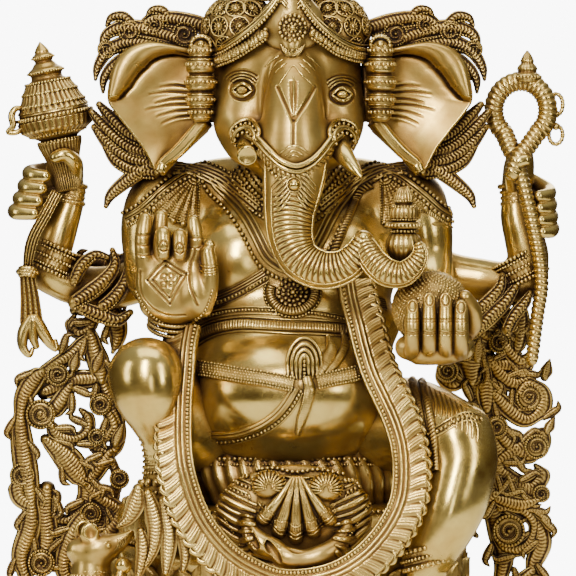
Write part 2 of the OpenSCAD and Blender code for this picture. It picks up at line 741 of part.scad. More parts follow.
// ---------- side pillars ----------
right_vines = [
    [[-198, 100, 9], [-205, 94, 11], [-214, 78, 11], [-216, 54, 12], [-212, 22, 13], [-208, -6, 13],
    [-209, -26, 12],
        [-216, -50, 12], [-211, -74, 12], [-214, -102, 12], [-205, plinth_top + 8, 14]],
    [[-192, 58, 8], [-186, 49, 9], [-174, 46, 9], [-163, 52, 8], [-162, 63, 7], [-168, 70, 6]],
    [[-152, 96, 10], [-145, 76, 10], [-138, 52, 9], [-142, 36, 9], [-153, 38, 8], [-160, 46, 6],
    [-156, 53, 5]],
    [[-196, 46, 9], [-184, 34, 11], [-174, 20, 11], [-165, 10, 10]],
    [[-144, 36, 9], [-154, 22, 9], [-164, 10, 10]],
    [[-166, 18, 10], [-162, 1, 12], [-167, -13, 12], [-181, -20, 11], [-193, -12, 9], [-196, -3, 7],
    [-190, 1, 5]],
    [[-208, -8, 9], [-217, 0, 10], [-219, 14, 12]],
    [[-163, 9, 9], [-152, -2, 10], [-139, -10, 9], [-127, -18, 6]],
    [[-144, 30, 8], [-138, 16, 13]],
    [[-165, -15, 12], [-176, -34, 11], [-182, -58, 11], [-174, -82, 11], [-178, -108, 12],
    [-176, plinth_top + 8, 14]],
    [[-198, 96, 14], [-184, 108, 9], [-173, 116, 9], [-161, 130, 9]],
    [[-158, 163, 8], [-158, 147, 8], [-161, 136, 8], [-170, 132, 8], [-175, 139, 7], [-172, 146, 5]],
    [[-179, 161, 7], [-170, 166, 8], [-168, 178, 8], [-160, 188, 8], [-150, 188, 8], [-144, 179, 6]],
    [[-162, 171, 6], [-155, 164, 7], [-148, 170, 6], [-153, 177, 5]],
    [[-128, 192, 9], [-138, 186, 8], [-143, 176, 7], [-144, 165, 7], [-137, 160, 6]],
    [[-153, 160, 10], [-142, 146, 12], [-138, 130, 10], [-142, 116, 5]],
    [[-160, 132, 10], [-157, 118, 11], [-153, 106, 12], [-151, 92, 12]],
    [[-197, 84, 12], [-184, 90, 11], [-168, 94, 11], [-151, 94, 11]],
    [[-200, 66, 17], [-190, 56, 10]],
    [[-176, 90, 9], [-184, 76, 10], [-194, 64, 10]],
    [[-205, -52, 18], [-190, -44, 11], [-176, -36, 10]],
    [[-211, -74, 10], [-196, -86, 10], [-184, -78, 8], [-190, -68, 6]],
    [[-176, -84, 10], [-160, -96, 10], [-150, -84, 8], [-156, -74, 6]],
    [[-178, -108, 9], [-192, -112, 9], [-205, -122, 9]]];
left_vines = [
    [[140, 186, 7], [146, 180, 8], [157, 171, 9], [168, 158, 9], [173, 144, 8], [184, 132, 8], [191, 138, 6]],
    [[166, 158, 12], [162, 142, 14], [154, 126, 18], [146, 110, 20], [146, 92, 18]],
    [[140, 96, 8], [131, 91, 9], [123, 97, 9], [125, 105, 7]],
    [[166, 134, 8], [175, 118, 8], [185, 109, 8], [191, 115, 6]],
    [[160, 112, 10], [169, 98, 11], [182, 91, 10], [194, 97, 8]],
    [[148, 96, 18], [156, 74, 14], [162, 56, 13], [166, 36, 13], [166, 16, 13], [163, -4, 13], [167, -24, 12],
        [172, -50, 12], [167, -82, 12], [173, -110, 12], [168, plinth_top + 8, 14]],
    [[164, 82, 10], [176, 70, 10], [190, 62, 10], [202, 71, 10], [202, 84, 9], [192, 91, 8],
    [185, 84, 6], [190, 77, 5]],
    [[165, 54, 10], [178, 40, 10], [192, 33, 10], [202, 40, 9], [202, 50, 8], [194, 52, 6]],
    [[166, 24, 10], [180, 11, 11], [194, 8, 11], [202, 17, 9], [197, 25, 6]],
    [[166, -2, 10], [186, -7, 9], [203, -1, 4]],
    [[168, -10, 9], [184, -10, 8], [196, -22, 8], [190, -40, 8], [174, -42, 8], [166, -30, 7],
    [174, -20, 6], [182, -26, 5]],
    [[196, -14, 9], [202, -36, 11], [195, -60, 11], [201, -88, 11], [192, plinth_top + 8, 14]],
    [[168, -80, 10], [152, -94, 10], [142, -82, 8], [148, -72, 6]],
    [[196, -60, 9], [184, -72, 9], [178, -84, 8]],
    [[198, -90, 9], [184, -104, 9], [172, -106, 9]],
    [[166, 2, 9], [150, -8, 9], [142, -22, 8], [150, -32, 6]],
    [[160, 60, 8], [148, 62, 8], [143, 72, 6]]];

module pillar(vines, posts) {
    color(dark_bronze) on_seat() union() {
        as_mesh() difference() {
            upright(pillar_y, pillar_t) offset(delta = 0.01) union() {
                for (row = vines) vine(row, len(row) > 4 ? 2 * len(row) - 2 : 5);
                translate([posts[0] - 12, plinth_top]) square([posts[1] - posts[0] + 24, 14]);
            }
            limb(rear_right_upper, 9, 12, [0, 1, 0]);
            limb(rear_left_upper, 9, 12, [0, 1, 0]);
            translate([0, 0, -seat_z])
                for (p = post_places) translate([p[0], p[1],
                    plinth_h - 1]) cylinder(r = bolt_r + clearance, h = 11, $fn = 20);
        }
    }
}

module right_pillar() { pillar(right_vines, right_post_x); }
module left_pillar() { pillar(left_vines, left_post_x); }

// ---------- mouse ----------
mouse_at = [-160, -72];
module mouse() {
    color(bronze) translate([mouse_at[0], mouse_at[1], plinth_h]) as_mesh() difference() {
        union() {
            limb([[-6, 8, -2, 26, 26], [-6, 6, 16, 28, 28], [-2, 0, 42, 24, 23], [0, -2, 66, 18, 18],
                [0, -2, 84, 14, 15],
                [2, -2, 92, 9, 10]], 9, 14);
            limb([[-10, -2, 88, 9, 11], [4, -4, 88, 15, 14], [18, -6, 93, 9, 9],
                [32, -8, 101, 2.5, 2.5]], 7, 12);
            ellipsoid([-8, 4, 106], [8, 4, 8], 10);
            ellipsoid([-2, -14, 104], [7, 4, 8], 10);
            limb([[4, -8, 54, 6, 6], [14, -18, 58, 6, 6], [22, -20, 68, 4, 4]], 5, 8);
        }
        translate([-80, -80, -20]) cube([160, 160, 20]);
        cylinder(r = bolt_r + clearance, h = 20, $fn = 20);
    }
}

// ---------- fixings ----------
head_h = 5;
module bolt(length) {
    translate([0, 0, -head_h]) cylinder(r = 2 * bolt_r, h = head_h, $fn = 6);
    cylinder(r = bolt_r, h = length, $fn = round_fn);
}

module figure_bolts() {
    color("dimgray") for (p = bolt_places) translate([p[0], p[1], plinth_h - wall]) bolt(wall + 20);
    color("dimgray") translate([mouse_at[0], mouse_at[1], plinth_h - wall]) bolt(wall + 16);
}

module pillar_bolts() {
    color("dimgray") for (p = post_places) translate([p[0], p[1], plinth_h - wall]) bolt(wall + 8);
}

module joint_dowels() { color("dimgray") on_seat() dowels(dowel_r); }

base_plinth();
lotus_base();
lotus_throne();
seat_cushion();
foot_lotus();
waist_cloth();
torso();
right_leg();
left_leg();
front_pleats();
snake_belt();
garland();
head();
trunk();
broken_tusk();
whole_tusk();
right_ear();
left_ear();
right_ear_pendant();
left_ear_pendant();
right_plume();
left_plume();
diadem();
crown();
crown_finial();
necklace();
belly_band();
front_right_arm();
front_right_hand();
front_left_arm();
front_left_hand();
sweets_ball();
trunk_sweet();
rear_right_arm();
rear_right_hand();
rear_left_arm();
rear_left_hand();
right_armlet();
left_armlet();
left_anklet();
goad();
noose();
right_scarf();
noose_tail();
right_pillar();
left_pillar();
mouse();
figure_bolts();
pillar_bolts();
joint_dowels();
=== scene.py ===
import math

import bpy
import numpy as np
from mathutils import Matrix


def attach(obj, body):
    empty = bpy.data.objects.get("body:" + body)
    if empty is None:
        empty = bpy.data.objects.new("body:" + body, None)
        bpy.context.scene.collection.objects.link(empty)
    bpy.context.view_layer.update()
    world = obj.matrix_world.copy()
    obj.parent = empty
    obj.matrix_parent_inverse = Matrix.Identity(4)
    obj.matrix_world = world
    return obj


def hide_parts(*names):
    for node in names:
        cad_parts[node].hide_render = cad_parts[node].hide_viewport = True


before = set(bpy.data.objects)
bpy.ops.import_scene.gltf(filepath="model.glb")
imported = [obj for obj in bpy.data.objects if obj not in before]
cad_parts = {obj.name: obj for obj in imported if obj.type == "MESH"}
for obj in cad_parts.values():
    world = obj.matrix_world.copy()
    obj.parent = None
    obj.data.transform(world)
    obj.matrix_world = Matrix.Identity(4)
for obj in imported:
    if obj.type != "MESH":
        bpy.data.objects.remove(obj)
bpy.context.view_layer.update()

import openvdb
from mathutils import Vector
from mathutils.bvhtree import BVHTree

# Lengths are millimetres, with +Z up and the figure facing -Y, and MM turns them into metres. Only the floor
# and the lamps at the end are given in metres. The seat, the plinth and the small lotus are drawn in the CAD
# frame, and the bolts and dowels are the CAD's own. Every other piece is drawn as it lines up from the front
# in the plane y = 0, and settle() moves it along its line of sight to its own depth.
MM = 0.001
FRONT = (0.0, -1.0, 0.0)
# The camera looks slightly down at the chest. EYE is its place to a tenth of a millimetre, for settle().
AIM = np.array([-1.6, 0.0, 361.6])
CAMERA_TILT = math.radians(3.0)
CAMERA_REACH = 2200.0
VIEW_WIDTH = 460.8
CAMERA_AT = AIM + CAMERA_REACH * np.array([0.0, -math.cos(CAMERA_TILT), math.sin(CAMERA_TILT)])
EYE = np.round(CAMERA_AT, 1)
rng = np.random.default_rng(11)


# ---------------------------------------------------------------- curves
def spline(points, n):
    """n samples of a Catmull-Rom curve through rows of any width."""
    p = np.asarray(points, float)
    s = np.linspace(0, len(p) - 1, n)
    i = np.minimum(s.astype(int), len(p) - 2)
    t = (s - i)[:, None]
    a, b, c, d = p[np.maximum(i - 1, 0)], p[i], p[i + 1], p[np.minimum(i + 2, len(p) - 1)]
    return 0.5 * (2 * b + (c - a) * t + (2 * a - 5 * b + 4 * c - d) * t**2 + (3 * b - a - 3 * c + d) * t**3)


def walk(points, step, dims=3):
    """The same curve in equal steps of its length. Returns the rows and the length at each."""
    p = spline(points, 24 * len(points))
    d = np.r_[0, np.cumsum(np.linalg.norm(np.diff(p[:, :dims], axis=0), axis=1))]
    s = np.linspace(0, d[-1], max(3, int(round(d[-1] / step)) + 1))
    return np.stack([np.interp(s, d, p[:, k]) for k in range(p.shape[1])], 1), s


def unit(v):
    return v / np.maximum(np.linalg.norm(v, axis=-1, keepdims=True), 1e-9)


def settle(v):
    """The figure is drawn as it lines up from the front; this puts each point in its place by its depth."""
    t = (v[:, 1:2] - EYE[1]) / -EYE[1]
    out = v.copy()
    out[:, ::2] = EYE[::2] + (v[:, ::2] - EYE[::2]) * t
    return out


# ---------------------------------------------------------------- mesh parts: (vertices, faces)
def outward(v, f):
    """Turns a closed mesh's faces outward."""
    a, b, c = v[f[:, 0]], v[f[:, 1]], v[f[:, 2]]
    vol = np.einsum("ij,ij->", a, np.cross(b, c))
    if f.shape[1] == 4:
        vol += np.einsum("ij,ij->", a, np.cross(c, v[f[:, 3]]))
    return (v, f[:, ::-1]) if vol < 0 else (v, f)


def grid_faces(n, m, wrap):
    j = np.arange(m if wrap else m - 1)
    i = np.arange(n - 1)[:, None]
    k = (j + 1) % m
    return np.stack([i * m + j, i * m + k, (i + 1) * m + k, (i + 1) * m + j], -1).reshape(-1, 4)


def rings(g):
    """A closed solid from a stack of rings, shape (n, m, 3)."""
    n, m = g.shape[:2]
    v = np.concatenate([g.reshape(-1, 3), g[0].mean(0)[None], g[-1].mean(0)[None]])
    j = np.arange(m)
    k = (j + 1) % m
    low = np.stack([np.full(m, n * m), k, j, j], -1)
    high = np.stack([np.full(m, n * m + 1), (n - 1) * m + j, (n - 1) * m + k, (n - 1) * m + k], -1)
    return outward(v, np.concatenate([grid_faces(n, m, True), low, high]))


def slab(g, thick):
    """A closed sheet from a patch of points, shape (n, m, 3), with its thickness behind it."""
    du, dv = np.gradient(g, axis=0), np.gradient(g, axis=1)
    nrm = unit(np.cross(du, dv))
    if nrm[..., 1].mean() > 0:
        nrm = -nrm
    n, m = g.shape[:2]
    v = np.concatenate([g.reshape(-1, 3), (g - nrm * thick).reshape(-1, 3)])
    f = grid_faces(n, m, False)
    rim = np.r_[np.arange(m), np.arange(2 * m - 1, n * m, m), np.arange(n * m - 2, (n - 1) * m - 1, -1),
                np.arange((n - 2) * m, 0, -m)]
    nxt = np.roll(rim, -1)
    side = np.stack([rim, rim + n * m, nxt + n * m, nxt], -1)
    return outward(v, np.concatenate([f, f[:, ::-1] + n * m, side]))


def axes(p, up):
    t = unit(np.gradient(p, axis=0))
    side = unit(np.cross(t, np.asarray(up, float)))
    return t, side, np.cross(side, t)


def tube(p, rx, ry=None, sides=16, up=FRONT, relief=None, cap=0.7):
    """A swept solid with round ends. relief(s, a) is added to the radius, in mm."""
    p = np.asarray(p, float)[:, :3]
    n = len(p)
    rx = np.broadcast_to(np.asarray(rx, float), n)
    ry = rx if ry is None else np.broadcast_to(np.asarray(ry, float), n)
    t, side, depth = axes(p, up)
    s = np.r_[0, np.cumsum(np.linalg.norm(np.diff(p, axis=0), axis=1))]
    a = np.linspace(0, 2 * math.pi, sides, endpoint=False)
    h = relief(s[:, None], a[None]) if relief is not None else np.zeros((n, sides))
    g = p[:, None] + side[:, None] * ((rx[:, None] + h) * np.cos(a))[..., None] + depth[:, None] * (
        (ry[:, None] + h) * np.sin(a))[..., None]
    tips = []
    for end, sign in ((0, -1), (-1, 1)):
        r = min(rx[end], ry[end])
        ring = [p[end] + (g[end] - p[end]) * math.cos(e) + sign * t[end] * r * cap * math.sin(e)
                for e in (0.45, 0.85, 1.2, 1.45)]
        tips.append(np.array(ring[::-1] if end == 0 else ring))
    return rings(np.concatenate([tips[0], g, tips[1]]))


def rod(points, r, step=1.0, sides=10, **kw):
    """A tube through given points: rows are [x, y, z] or [x, y, z, scale of r]."""
    q, s = walk(points, step)
    return tube(q, r * (q[:, 3] if q.shape[1] > 3 else 1.0), sides=sides, **kw)


def ball_shape(seg, ring):
    e = np.linspace(-math.pi / 2, math.pi / 2, ring)[1:-1, None]
    a = np.linspace(0, 2 * math.pi, seg, endpoint=False)[None]
    return rings(np.stack([np.cos(e) * np.cos(a), np.cos(e) * np.sin(a), np.sin(e) + 0 * a], -1))


BEAD = ball_shape(8, 7)
FINE_BEAD = ball_shape(20, 14)


def beads(centres, r, shape=BEAD, squash=(1, 1, 1)):
    c = np.asarray(centres, float)[:, :3]
    r = np.broadcast_to(np.asarray(r, float), len(c))
    v = (c[:, None] + shape[0][None] * np.asarray(squash) * r[:, None, None]).reshape(-1, 3)
    f = (shape[1][None] + (np.arange(len(c)) * len(shape[0]))[:, None, None]).reshape(-1, 4)
    return v, f


def studs(centres, normals, along, size, shape=BEAD):
    """Oval beads: size is (along, across, out)."""
    c, n, t = np.asarray(centres, float), unit(np.asarray(normals, float)), np.asarray(along, float)
    t = unit(t - n * np.sum(t * n, -1, keepdims=True))
    b = np.cross(n, t)
    v = c[:, None] + sum(shape[0][None, :, k, None] * q[:, None]
            * (np.asarray(w)[..., None, None] if np.ndim(w) else w)
                         for k, (q, w) in enumerate(zip((t, b, n), size)))
    f = (shape[1][None] + (np.arange(len(c)) * len(shape[0]))[:, None, None]).reshape(-1, 4)
    return v.reshape(-1, 3), f


def bead_line(points, r, gap=1.0):
    q, s = walk(points, 2 * r * gap)
    return beads(q, r)


def lathe(profile, centre=(0, 0, 0), seg=72, step=1.2, flutes=0, depth=0.0, where=None, tilt=0.0, yaw=0.0):
    """A turned solid from rows of [radius, z]. flutes cut ribs where where(z) is true."""
    q, s = walk(profile, step, 2)
    a = np.linspace(0, 2 * math.pi, seg, endpoint=False)[None]
    r = np.maximum(q[:, :1], 0.02) + 0 * a
    if flutes:
        on = np.ones(len(q)) if where is None else np.array([1.0 if where(z) else 0.0 for z in q[:, 1]])
        r = r + on[:, None] * depth * np.abs(np.cos(flutes * a / 2))
    g = np.stack([r * np.cos(a), r * np.sin(a), q[:, 1:2] + 0 * a], -1)
    v, f = rings(g)
    return turn(v, tilt, yaw) + np.asarray(centre, float), f


def turn(v, tilt=0.0, yaw=0.0):
    """Leans about Y by tilt and then turns about Z by yaw, in degrees."""
    t, y = math.radians(tilt), math.radians(yaw)
    ry = np.array([[math.cos(t), 0, math.sin(t)], [0, 1, 0], [-math.sin(t), 0, math.cos(t)]])
    rz = np.array([[math.cos(y), -math.sin(y), 0], [math.sin(y), math.cos(y), 0], [0, 0, 1]])
    return v @ ry.T @ rz.T


def hoop(centre, axis, rx, ry, r, step=0.8, sides=10, start=0.0, end=360.0, relief=None, bead=0.0):
    """A bangle about an axis, or a hoop of beads."""
    ax = unit(np.asarray(axis, float))
    u = unit(np.cross(ax, (0.0, 1.0, 0.0)) if abs(ax[1]) < 0.9 else np.cross(ax, (1.0, 0.0, 0.0)))
    w = np.cross(ax, u)
    length = math.pi * (rx + ry) * (end - start) / 360
    n = max(8, int(length / (bead * 2 if bead else step)))
    a = np.radians(np.linspace(start, end, n, endpoint=end - start < 360 or not bead))[:, None]
    p = np.asarray(centre, float) + u * rx * np.cos(a) + w * ry * np.sin(a)
    if bead:
        return beads(p, bead)
    return tube(p, r, sides=sides, up=ax, relief=relief)


# ---------------------------------------------------------------- clay: smooth unions on a grid
class Clay:
    def __init__(self, lo, hi, h):
        self.lo, self.h = np.array(lo, float), h
        self.n = np.ceil((np.array(hi) - self.lo) / h).astype(int) + 1
        self.d = np.full(self.n, 1e3, np.float32)

    def _window(self, lo, hi):
        a = np.maximum(np.floor((np.array(lo) - self.lo) / self.h).astype(int), 0)
        b = np.minimum(np.ceil((np.array(hi) - self.lo) / self.h).astype(int) + 1, self.n)
        b = np.maximum(a, b)
        sl = tuple(slice(i, j) for i, j in zip(a, b))
        ax = [(self.lo[k] + self.h * np.arange(a[k], b[k])).astype(np.float32) for k in range(3)]
        return sl, ax[0][:, None, None], ax[1][None, :, None], ax[2][None, None, :]

    def _put(self, sl, e, k, cut):
        a = self.d[sl]
        k = max(k, 1e-3)
        if cut:
            t = np.clip(0.5 - 0.5 * (a + e) / k, 0, 1)
            self.d[sl] = a + (-e - a) * t + k * t * (1 - t)
        else:
            t = np.clip(0.5 + 0.5 * (a - e) / k, 0, 1)
            self.d[sl] = a + (e - a) * t - k * t * (1 - t)

    def ball(self, c, r, k=8.0, cut=False, tilt=0.0):
        r = np.broadcast_to(np.asarray(r, float), 3)
        m = max(r) + k + 3 * self.h if tilt else r + k + 3 * self.h
        sl, x, y, z = self._window(np.array(c) - m, np.array(c) + m)
        x, y, z = x - c[0], y - c[1], z - c[2]
        if tilt:
            t = math.radians(tilt)
            x, z = x * math.cos(t) - z * math.sin(t), x * math.sin(t) + z * math.cos(t)
        q0 = np.sqrt((x / r[0]) ** 2 + (y / r[1]) ** 2 + (z / r[2]) ** 2)
        q1 = np.sqrt((x / r[0] ** 2) ** 2 + (y / r[1] ** 2) ** 2 + (z / r[2] ** 2) ** 2)
        self._put(sl, q0 * (q0 - 1) / np.maximum(q1, 1e-6), k, cut)
        return self

    def limb(self, rows, k=6.0, cut=False, n=0, flat=1.0):
        """A rounded limb through rows of [x, y, z, r]. flat below 1 thins it front to back."""
        p = spline(rows, n or 7 * len(rows))
        m = p[:, 3].max() + k + 3 * self.h
        sl, x, y, z = self._window(p[:, :3].min(0) - m, p[:, :3].max(0) + m)
        e = np.full((x.shape[0], y.shape[1], z.shape[2]), 1e3, np.float32)
        for a, b in zip(p[:-1], p[1:]):
            ba = b[:3] - a[:3]
            ba[1] /= flat
            t = np.clip(((x - a[0]) * ba[0] + (y - a[1]) / flat * ba[1] + (z - a[2]) * ba[2]) / max(ba @ ba,
                    1e-6), 0, 1)
            dist = np.sqrt((x - a[0] - ba[0] * t) ** 2 + ((y - a[1]) / flat - ba[1] * t) ** 2
                           + (z - a[2] - ba[2] * t) ** 2) - (a[3] + (b[3] - a[3]) * t)
            np.minimum(e, dist, out=e)
        self._put(sl, e, k, cut)
        return self

    def mesh(self, smooth=3):
        h = self.h
        g = openvdb.FloatGrid(3 * h)
        g.copyFromArray(np.clip(self.d, -3 * h, 3 * h))
        v, f = g.convertToQuads(isovalue=0.0)
        v, f = np.asarray(v, float) * h + self.lo, np.asarray(f, int)
        return soften(v, f, smooth)


def soften(v, f, times):
    e = np.concatenate([f[:, [0, 1]], f[:, [1, 2]], f[:, [2, 3]], f[:, [3, 0]]])
    n = len(v)
    deg = np.maximum(np.bincount(e[:, 0], minlength=n) + np.bincount(e[:, 1], minlength=n), 1)
    for k in range(2 * times):
        near = np.stack([np.bincount(e[:, 0], v[e[:, 1], c], n) + np.bincount(e[:, 1], v[e[:, 0], c], n)
                         for c in range(3)], 1) / deg[:, None]
        v = v + (near - v) * (0.55 if k % 2 == 0 else -0.57)
    return v, f


def carve(part, rows, width, depth, back=-30.0):
    """Presses a groove into the front of a mesh along a drawn [x, z] path. A negative depth raises it."""
    v = part[0]
    q, _ = walk(rows, 0.6, 2)
    near = np.nonzero((v[:, 1] < back) & (v[:, 0] > q[:, 0].min() - 3 * width)
            & (v[:, 0] < q[:, 0].max() + 3 * width)
                      & (v[:, 2] > q[:, 1].min() - 3 * width) & (v[:, 2] < q[:, 1].max() + 3 * width))[0]
    if len(near):
        d = np.hypot(v[near, 0][:, None] - q[:, 0], v[near, 2][:, None] - q[:, 1]).min(1)
        v[near, 1] += depth * np.exp(-((d / width) ** 2))


class Skin:
    """What ornament is laid on: finds the surface behind a point seen from the front."""

    def __init__(self, *parts):
        v, f, o = [], [], 0
        for pv, pf in parts:
            v.append(pv)
            f.append(pf + o)
            o += len(pv)
        self.tree = BVHTree.FromPolygons(np.concatenate(v).tolist(), [q for g in f for q in g.tolist()])

    def lay(self, xz, lift=0.0, start=-400.0, aim=(0, 1, 0), miss=-60.0):
        """Points and normals on the surface for rows of [x, z, ...]."""
        out, nrm = [], []
        for row in np.asarray(xz, float):
            hit = self.tree.ray_cast(Vector((row[0], start, row[1])), Vector(aim))
            if hit[0] is None:
                hit = self.tree.find_nearest(Vector((row[0], out[-1][1] if out else miss, row[1])))
            nn = hit[1] if hit[1].y < 0 else -hit[1]
            out.append(np.array(hit[0]) + np.array(nn) * lift)
            nrm.append(np.array(nn))
        return np.array(out), np.array(nrm)

    def line(self, xz, r, lift=0.0, step=1.2, sides=8, smooth=2, **kw):
        """A raised line laid on the surface through points seen from the front."""
        q, s = walk(xz, step, 2)
        p, n = self.lay(q, lift)
        for _ in range(smooth):
            p[1:-1] = p[1:-1] * 0.5 + (p[:-2] + p[2:]) * 0.25
        scale = q[:, 2] if q.shape[1] > 2 else 1.0
        return tube(p, r * scale, sides=sides, **kw)

    def beads(self, xz, r, gap=1.0, lift=0.0, shape=BEAD):
        q, s = walk(xz, 2 * r * gap, 2)
        p, n = self.lay(q, lift)
        return beads(p, r, shape)

    def strip(self, xz, width, height, lift=0.0, across=14, step=1.0, base=2.5, smooth=2):
        """A worked band laid on the surface. height(s, u) is its relief, with u from -1 to 1 across it."""
        q, s = walk(xz, step, 2)
        p, n = self.lay(q, lift)
        for _ in range(smooth):
            p[1:-1] = p[1:-1] * 0.5 + (p[:-2] + p[2:]) * 0.25
            n[1:-1] = unit(n[1:-1] * 0.5 + (n[:-2] + n[2:]) * 0.25)
        w = width * (q[:, 2] if q.shape[1] > 2 else np.ones(len(q)))
        return band(p, n, w, height, across, base)


def band(p, n, width, height, across=14, base=2.5):
    """A worked band along p with outward directions n."""
    t = unit(np.gradient(p, axis=0))
    b = unit(np.cross(n, t))
    n = np.cross(t, b)
    s = np.r_[0, np.cumsum(np.linalg.norm(np.diff(p, axis=0), axis=1))]
    u = np.linspace(-1, 1, across)
    w = np.broadcast_to(np.asarray(width, float), len(p))
    top = p[:, None] + b[:, None] * (u * w[:, None] / 2)[..., None] + n[:, None] * height(s[:, None],
            u[None])[..., None]
    edge = u[[-1, 0]]
    low = p[:, None] + b[:, None] * (edge * w[:, None] / 2)[..., None] - n[:, None] * base
    return rings(np.concatenate([top, low], 1))


# ---------------------------------------------------------------- pieces
def build(name, parts, mat, nodes, placed=False):
    """One object from mesh parts. It stands for the CAD nodes it names."""
    v = np.concatenate([p[0] for p in parts])
    v = (v if placed else settle(v)) * MM
    loops, totals, o = [], [], 0
    for pv, pf in parts:
        loops.append((pf + o).ravel())
        totals.append(np.full(len(pf), pf.shape[1]))
        o += len(pv)
    loops, totals = np.concatenate(loops), np.concatenate(totals)
    me = bpy.data.meshes.new(name)
    me.vertices.add(len(v))
    me.vertices.foreach_set("co", v.astype(np.float32).ravel())
    me.loops.add(len(loops))
    me.loops.foreach_set("vertex_index", loops.astype(np.int32))
    me.polygons.add(len(totals))
    me.polygons.foreach_set("loop_start", np.r_[0, np.cumsum(totals)[:-1]].astype(np.int32))
    me.update(calc_edges=True)
    me.validate()
    me.polygons.foreach_set("use_smooth", np.full(len(me.polygons), True))
    me.materials.append(mat)
    ob = bpy.data.objects.new(name, me)
    bpy.context.collection.objects.link(ob)
    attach(ob, "root")
    if nodes:
        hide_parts(*nodes)
    return ob


# ---------------------------------------------------------------- materials
def ramp(nt, stops, colour=True):
    n = nt.nodes.new("ShaderNodeValToRGB")
    e = n.color_ramp.elements
    while len(e) > 1:
        e.remove(e[-1])
    for k, (pos, col) in enumerate(stops):
        el = e[0] if k == 0 else e.new(pos)
        el.position = pos
        el.color = (*col, 1) if colour else (col, col, col, 1)
    return n


def brass(name, light, mid, dark, rough, hollow, grain=0.10, deep=0.040, sharp=0.65):
    """Cast brass: bright where it is rubbed, brown where the crevices keep their patina, and darkened by
    painted shade in the larger hollows and between parts.
    """
    m = bpy.data.materials.new(name)
    m.use_nodes = True
    nt = m.node_tree
    nt.nodes.clear()
    link = nt.links.new
    out = nt.nodes.new("ShaderNodeOutputMaterial")
    bsdf = nt.nodes.new("ShaderNodeBsdfPrincipled")
    link(bsdf.outputs[0], out.inputs[0])
    tex = nt.nodes.new("ShaderNodeTexCoord")

    def noise(scale, detail=4.0, r=0.5):
        n = nt.nodes.new("ShaderNodeTexNoise")
        n.inputs["Scale"].default_value = scale
        n.inputs["Detail"].default_value = detail
        n.inputs["Roughness"].default_value = r
        link(tex.outputs["Object"], n.inputs["Vector"])
        return n.outputs[0]

    def calc(op, a, b=None, clamp=False):
        n = nt.nodes.new("ShaderNodeMath")
        n.operation = op
        n.use_clamp = clamp
        for i, v in enumerate((a, b)):
            if v is None:
                continue
            if hasattr(v, "links"):
                link(v, n.inputs[i])
            else:
                n.inputs[i].default_value = v
        return n.outputs[0]

    def openness(reach, low, high, floor_=0.0):
        ao = nt.nodes.new("ShaderNodeAmbientOcclusion")
        ao.samples = 5
        ao.inputs["Distance"].default_value = reach
        r = ramp(nt, [(low, floor_), (high, 1.0)], False)
        link(ao.outputs["AO"], r.inputs[0])
        return r.outputs[0]

    geo = nt.nodes.new("ShaderNodeNewGeometry")
    edge = ramp(nt, [(0.45, 0.0), (0.54, 1.0)], False)
    link(geo.outputs["Pointiness"], edge.inputs[0])
    # Short-reach occlusion marks the patina kept in the crevices; the long-reach one (deep, 40 mm) is painted
    # shade that darkens larger hollows and the gaps between parts.
    clean_and_unshaded = calc("MULTIPLY", openness(hollow, 0.42, 0.90), openness(deep, 0.22, 0.80, 0.12))
    clean_and_unshaded = calc("MULTIPLY", clean_and_unshaded, calc("ADD", calc("MULTIPLY", edge.outputs[0], sharp), 1.0 - sharp))
    spots = calc("MULTIPLY", calc("SUBTRACT", noise(55.0), 0.5), 0.55)
    clean_and_unshaded = calc("ADD", clean_and_unshaded, spots, clamp=True)
    # This mask picks the colour: its dark end is both crevice patina and painted shade.
    shade = ramp(nt, [(0.0, dark), (0.42, mid), (0.92, light)])
    link(clean_and_unshaded, shade.inputs[0])
    tint = nt.nodes.new("ShaderNodeMix")
    tint.data_type = "RGBA"
    tint.blend_type = "MULTIPLY"
    wash = ramp(nt, [(0.30, (0.86, 0.74, 0.55)), (0.60, (1.0, 1.0, 1.0))])
    link(noise(16.0, 5.0, 0.6), wash.inputs[0])
    tint.inputs[0].default_value = 0.75
    link(shade.outputs[0], tint.inputs[6])
    link(wash.outputs[0], tint.inputs[7])
    link(tint.outputs[2], bsdf.inputs["Base Color"])
    rr = calc("ADD", calc("MULTIPLY", calc("SUBTRACT", 1.0, clean_and_unshaded), 0.34), rough)
    rr = calc("ADD", rr, calc("MULTIPLY", calc("SUBTRACT", noise(180.0, 3.0), 0.5), 0.12))
    link(rr, bsdf.inputs["Roughness"])
    link(calc("ADD", calc("MULTIPLY", clean_and_unshaded, 0.35), 0.65), bsdf.inputs["Metallic"])
    bump = nt.nodes.new("ShaderNodeBump")
    bump.inputs["Strength"].default_value = grain
    bump.inputs["Distance"].default_value = 0.0006
    link(calc("ADD", noise(420.0, 5.0, 0.6), calc("MULTIPLY", noise(90.0, 3.0), 1.4)), bump.inputs["Height"])
    link(bump.outputs[0], bsdf.inputs["Normal"])
    return m


# Each brass gives rubbed, middle and dark colours; the dark colour serves both the crevice patina and the
# painted shade in larger hollows.
POLISHED = brass("polished_brass", (0.80, 0.61, 0.19), (0.46, 0.27, 0.06), (0.05, 0.02, 0.006), 0.175, 0.012,
        0.05, sharp=0.3)
WORKED = brass("worked_brass", (0.80, 0.61, 0.19), (0.36, 0.20, 0.045), (0.04, 0.016, 0.005), 0.21, 0.006,
        0.08, sharp=0.85)
CHASED = brass("chased_brass", (0.76, 0.56, 0.175), (0.22, 0.11, 0.026), (0.02, 0.008, 0.003), 0.24, 0.005,
        0.22)
AGED = brass("aged_brass", (0.60, 0.42, 0.125), (0.10, 0.045, 0.012), (0.014, 0.006, 0.003), 0.29, 0.0045,
        0.3, sharp=1.0)

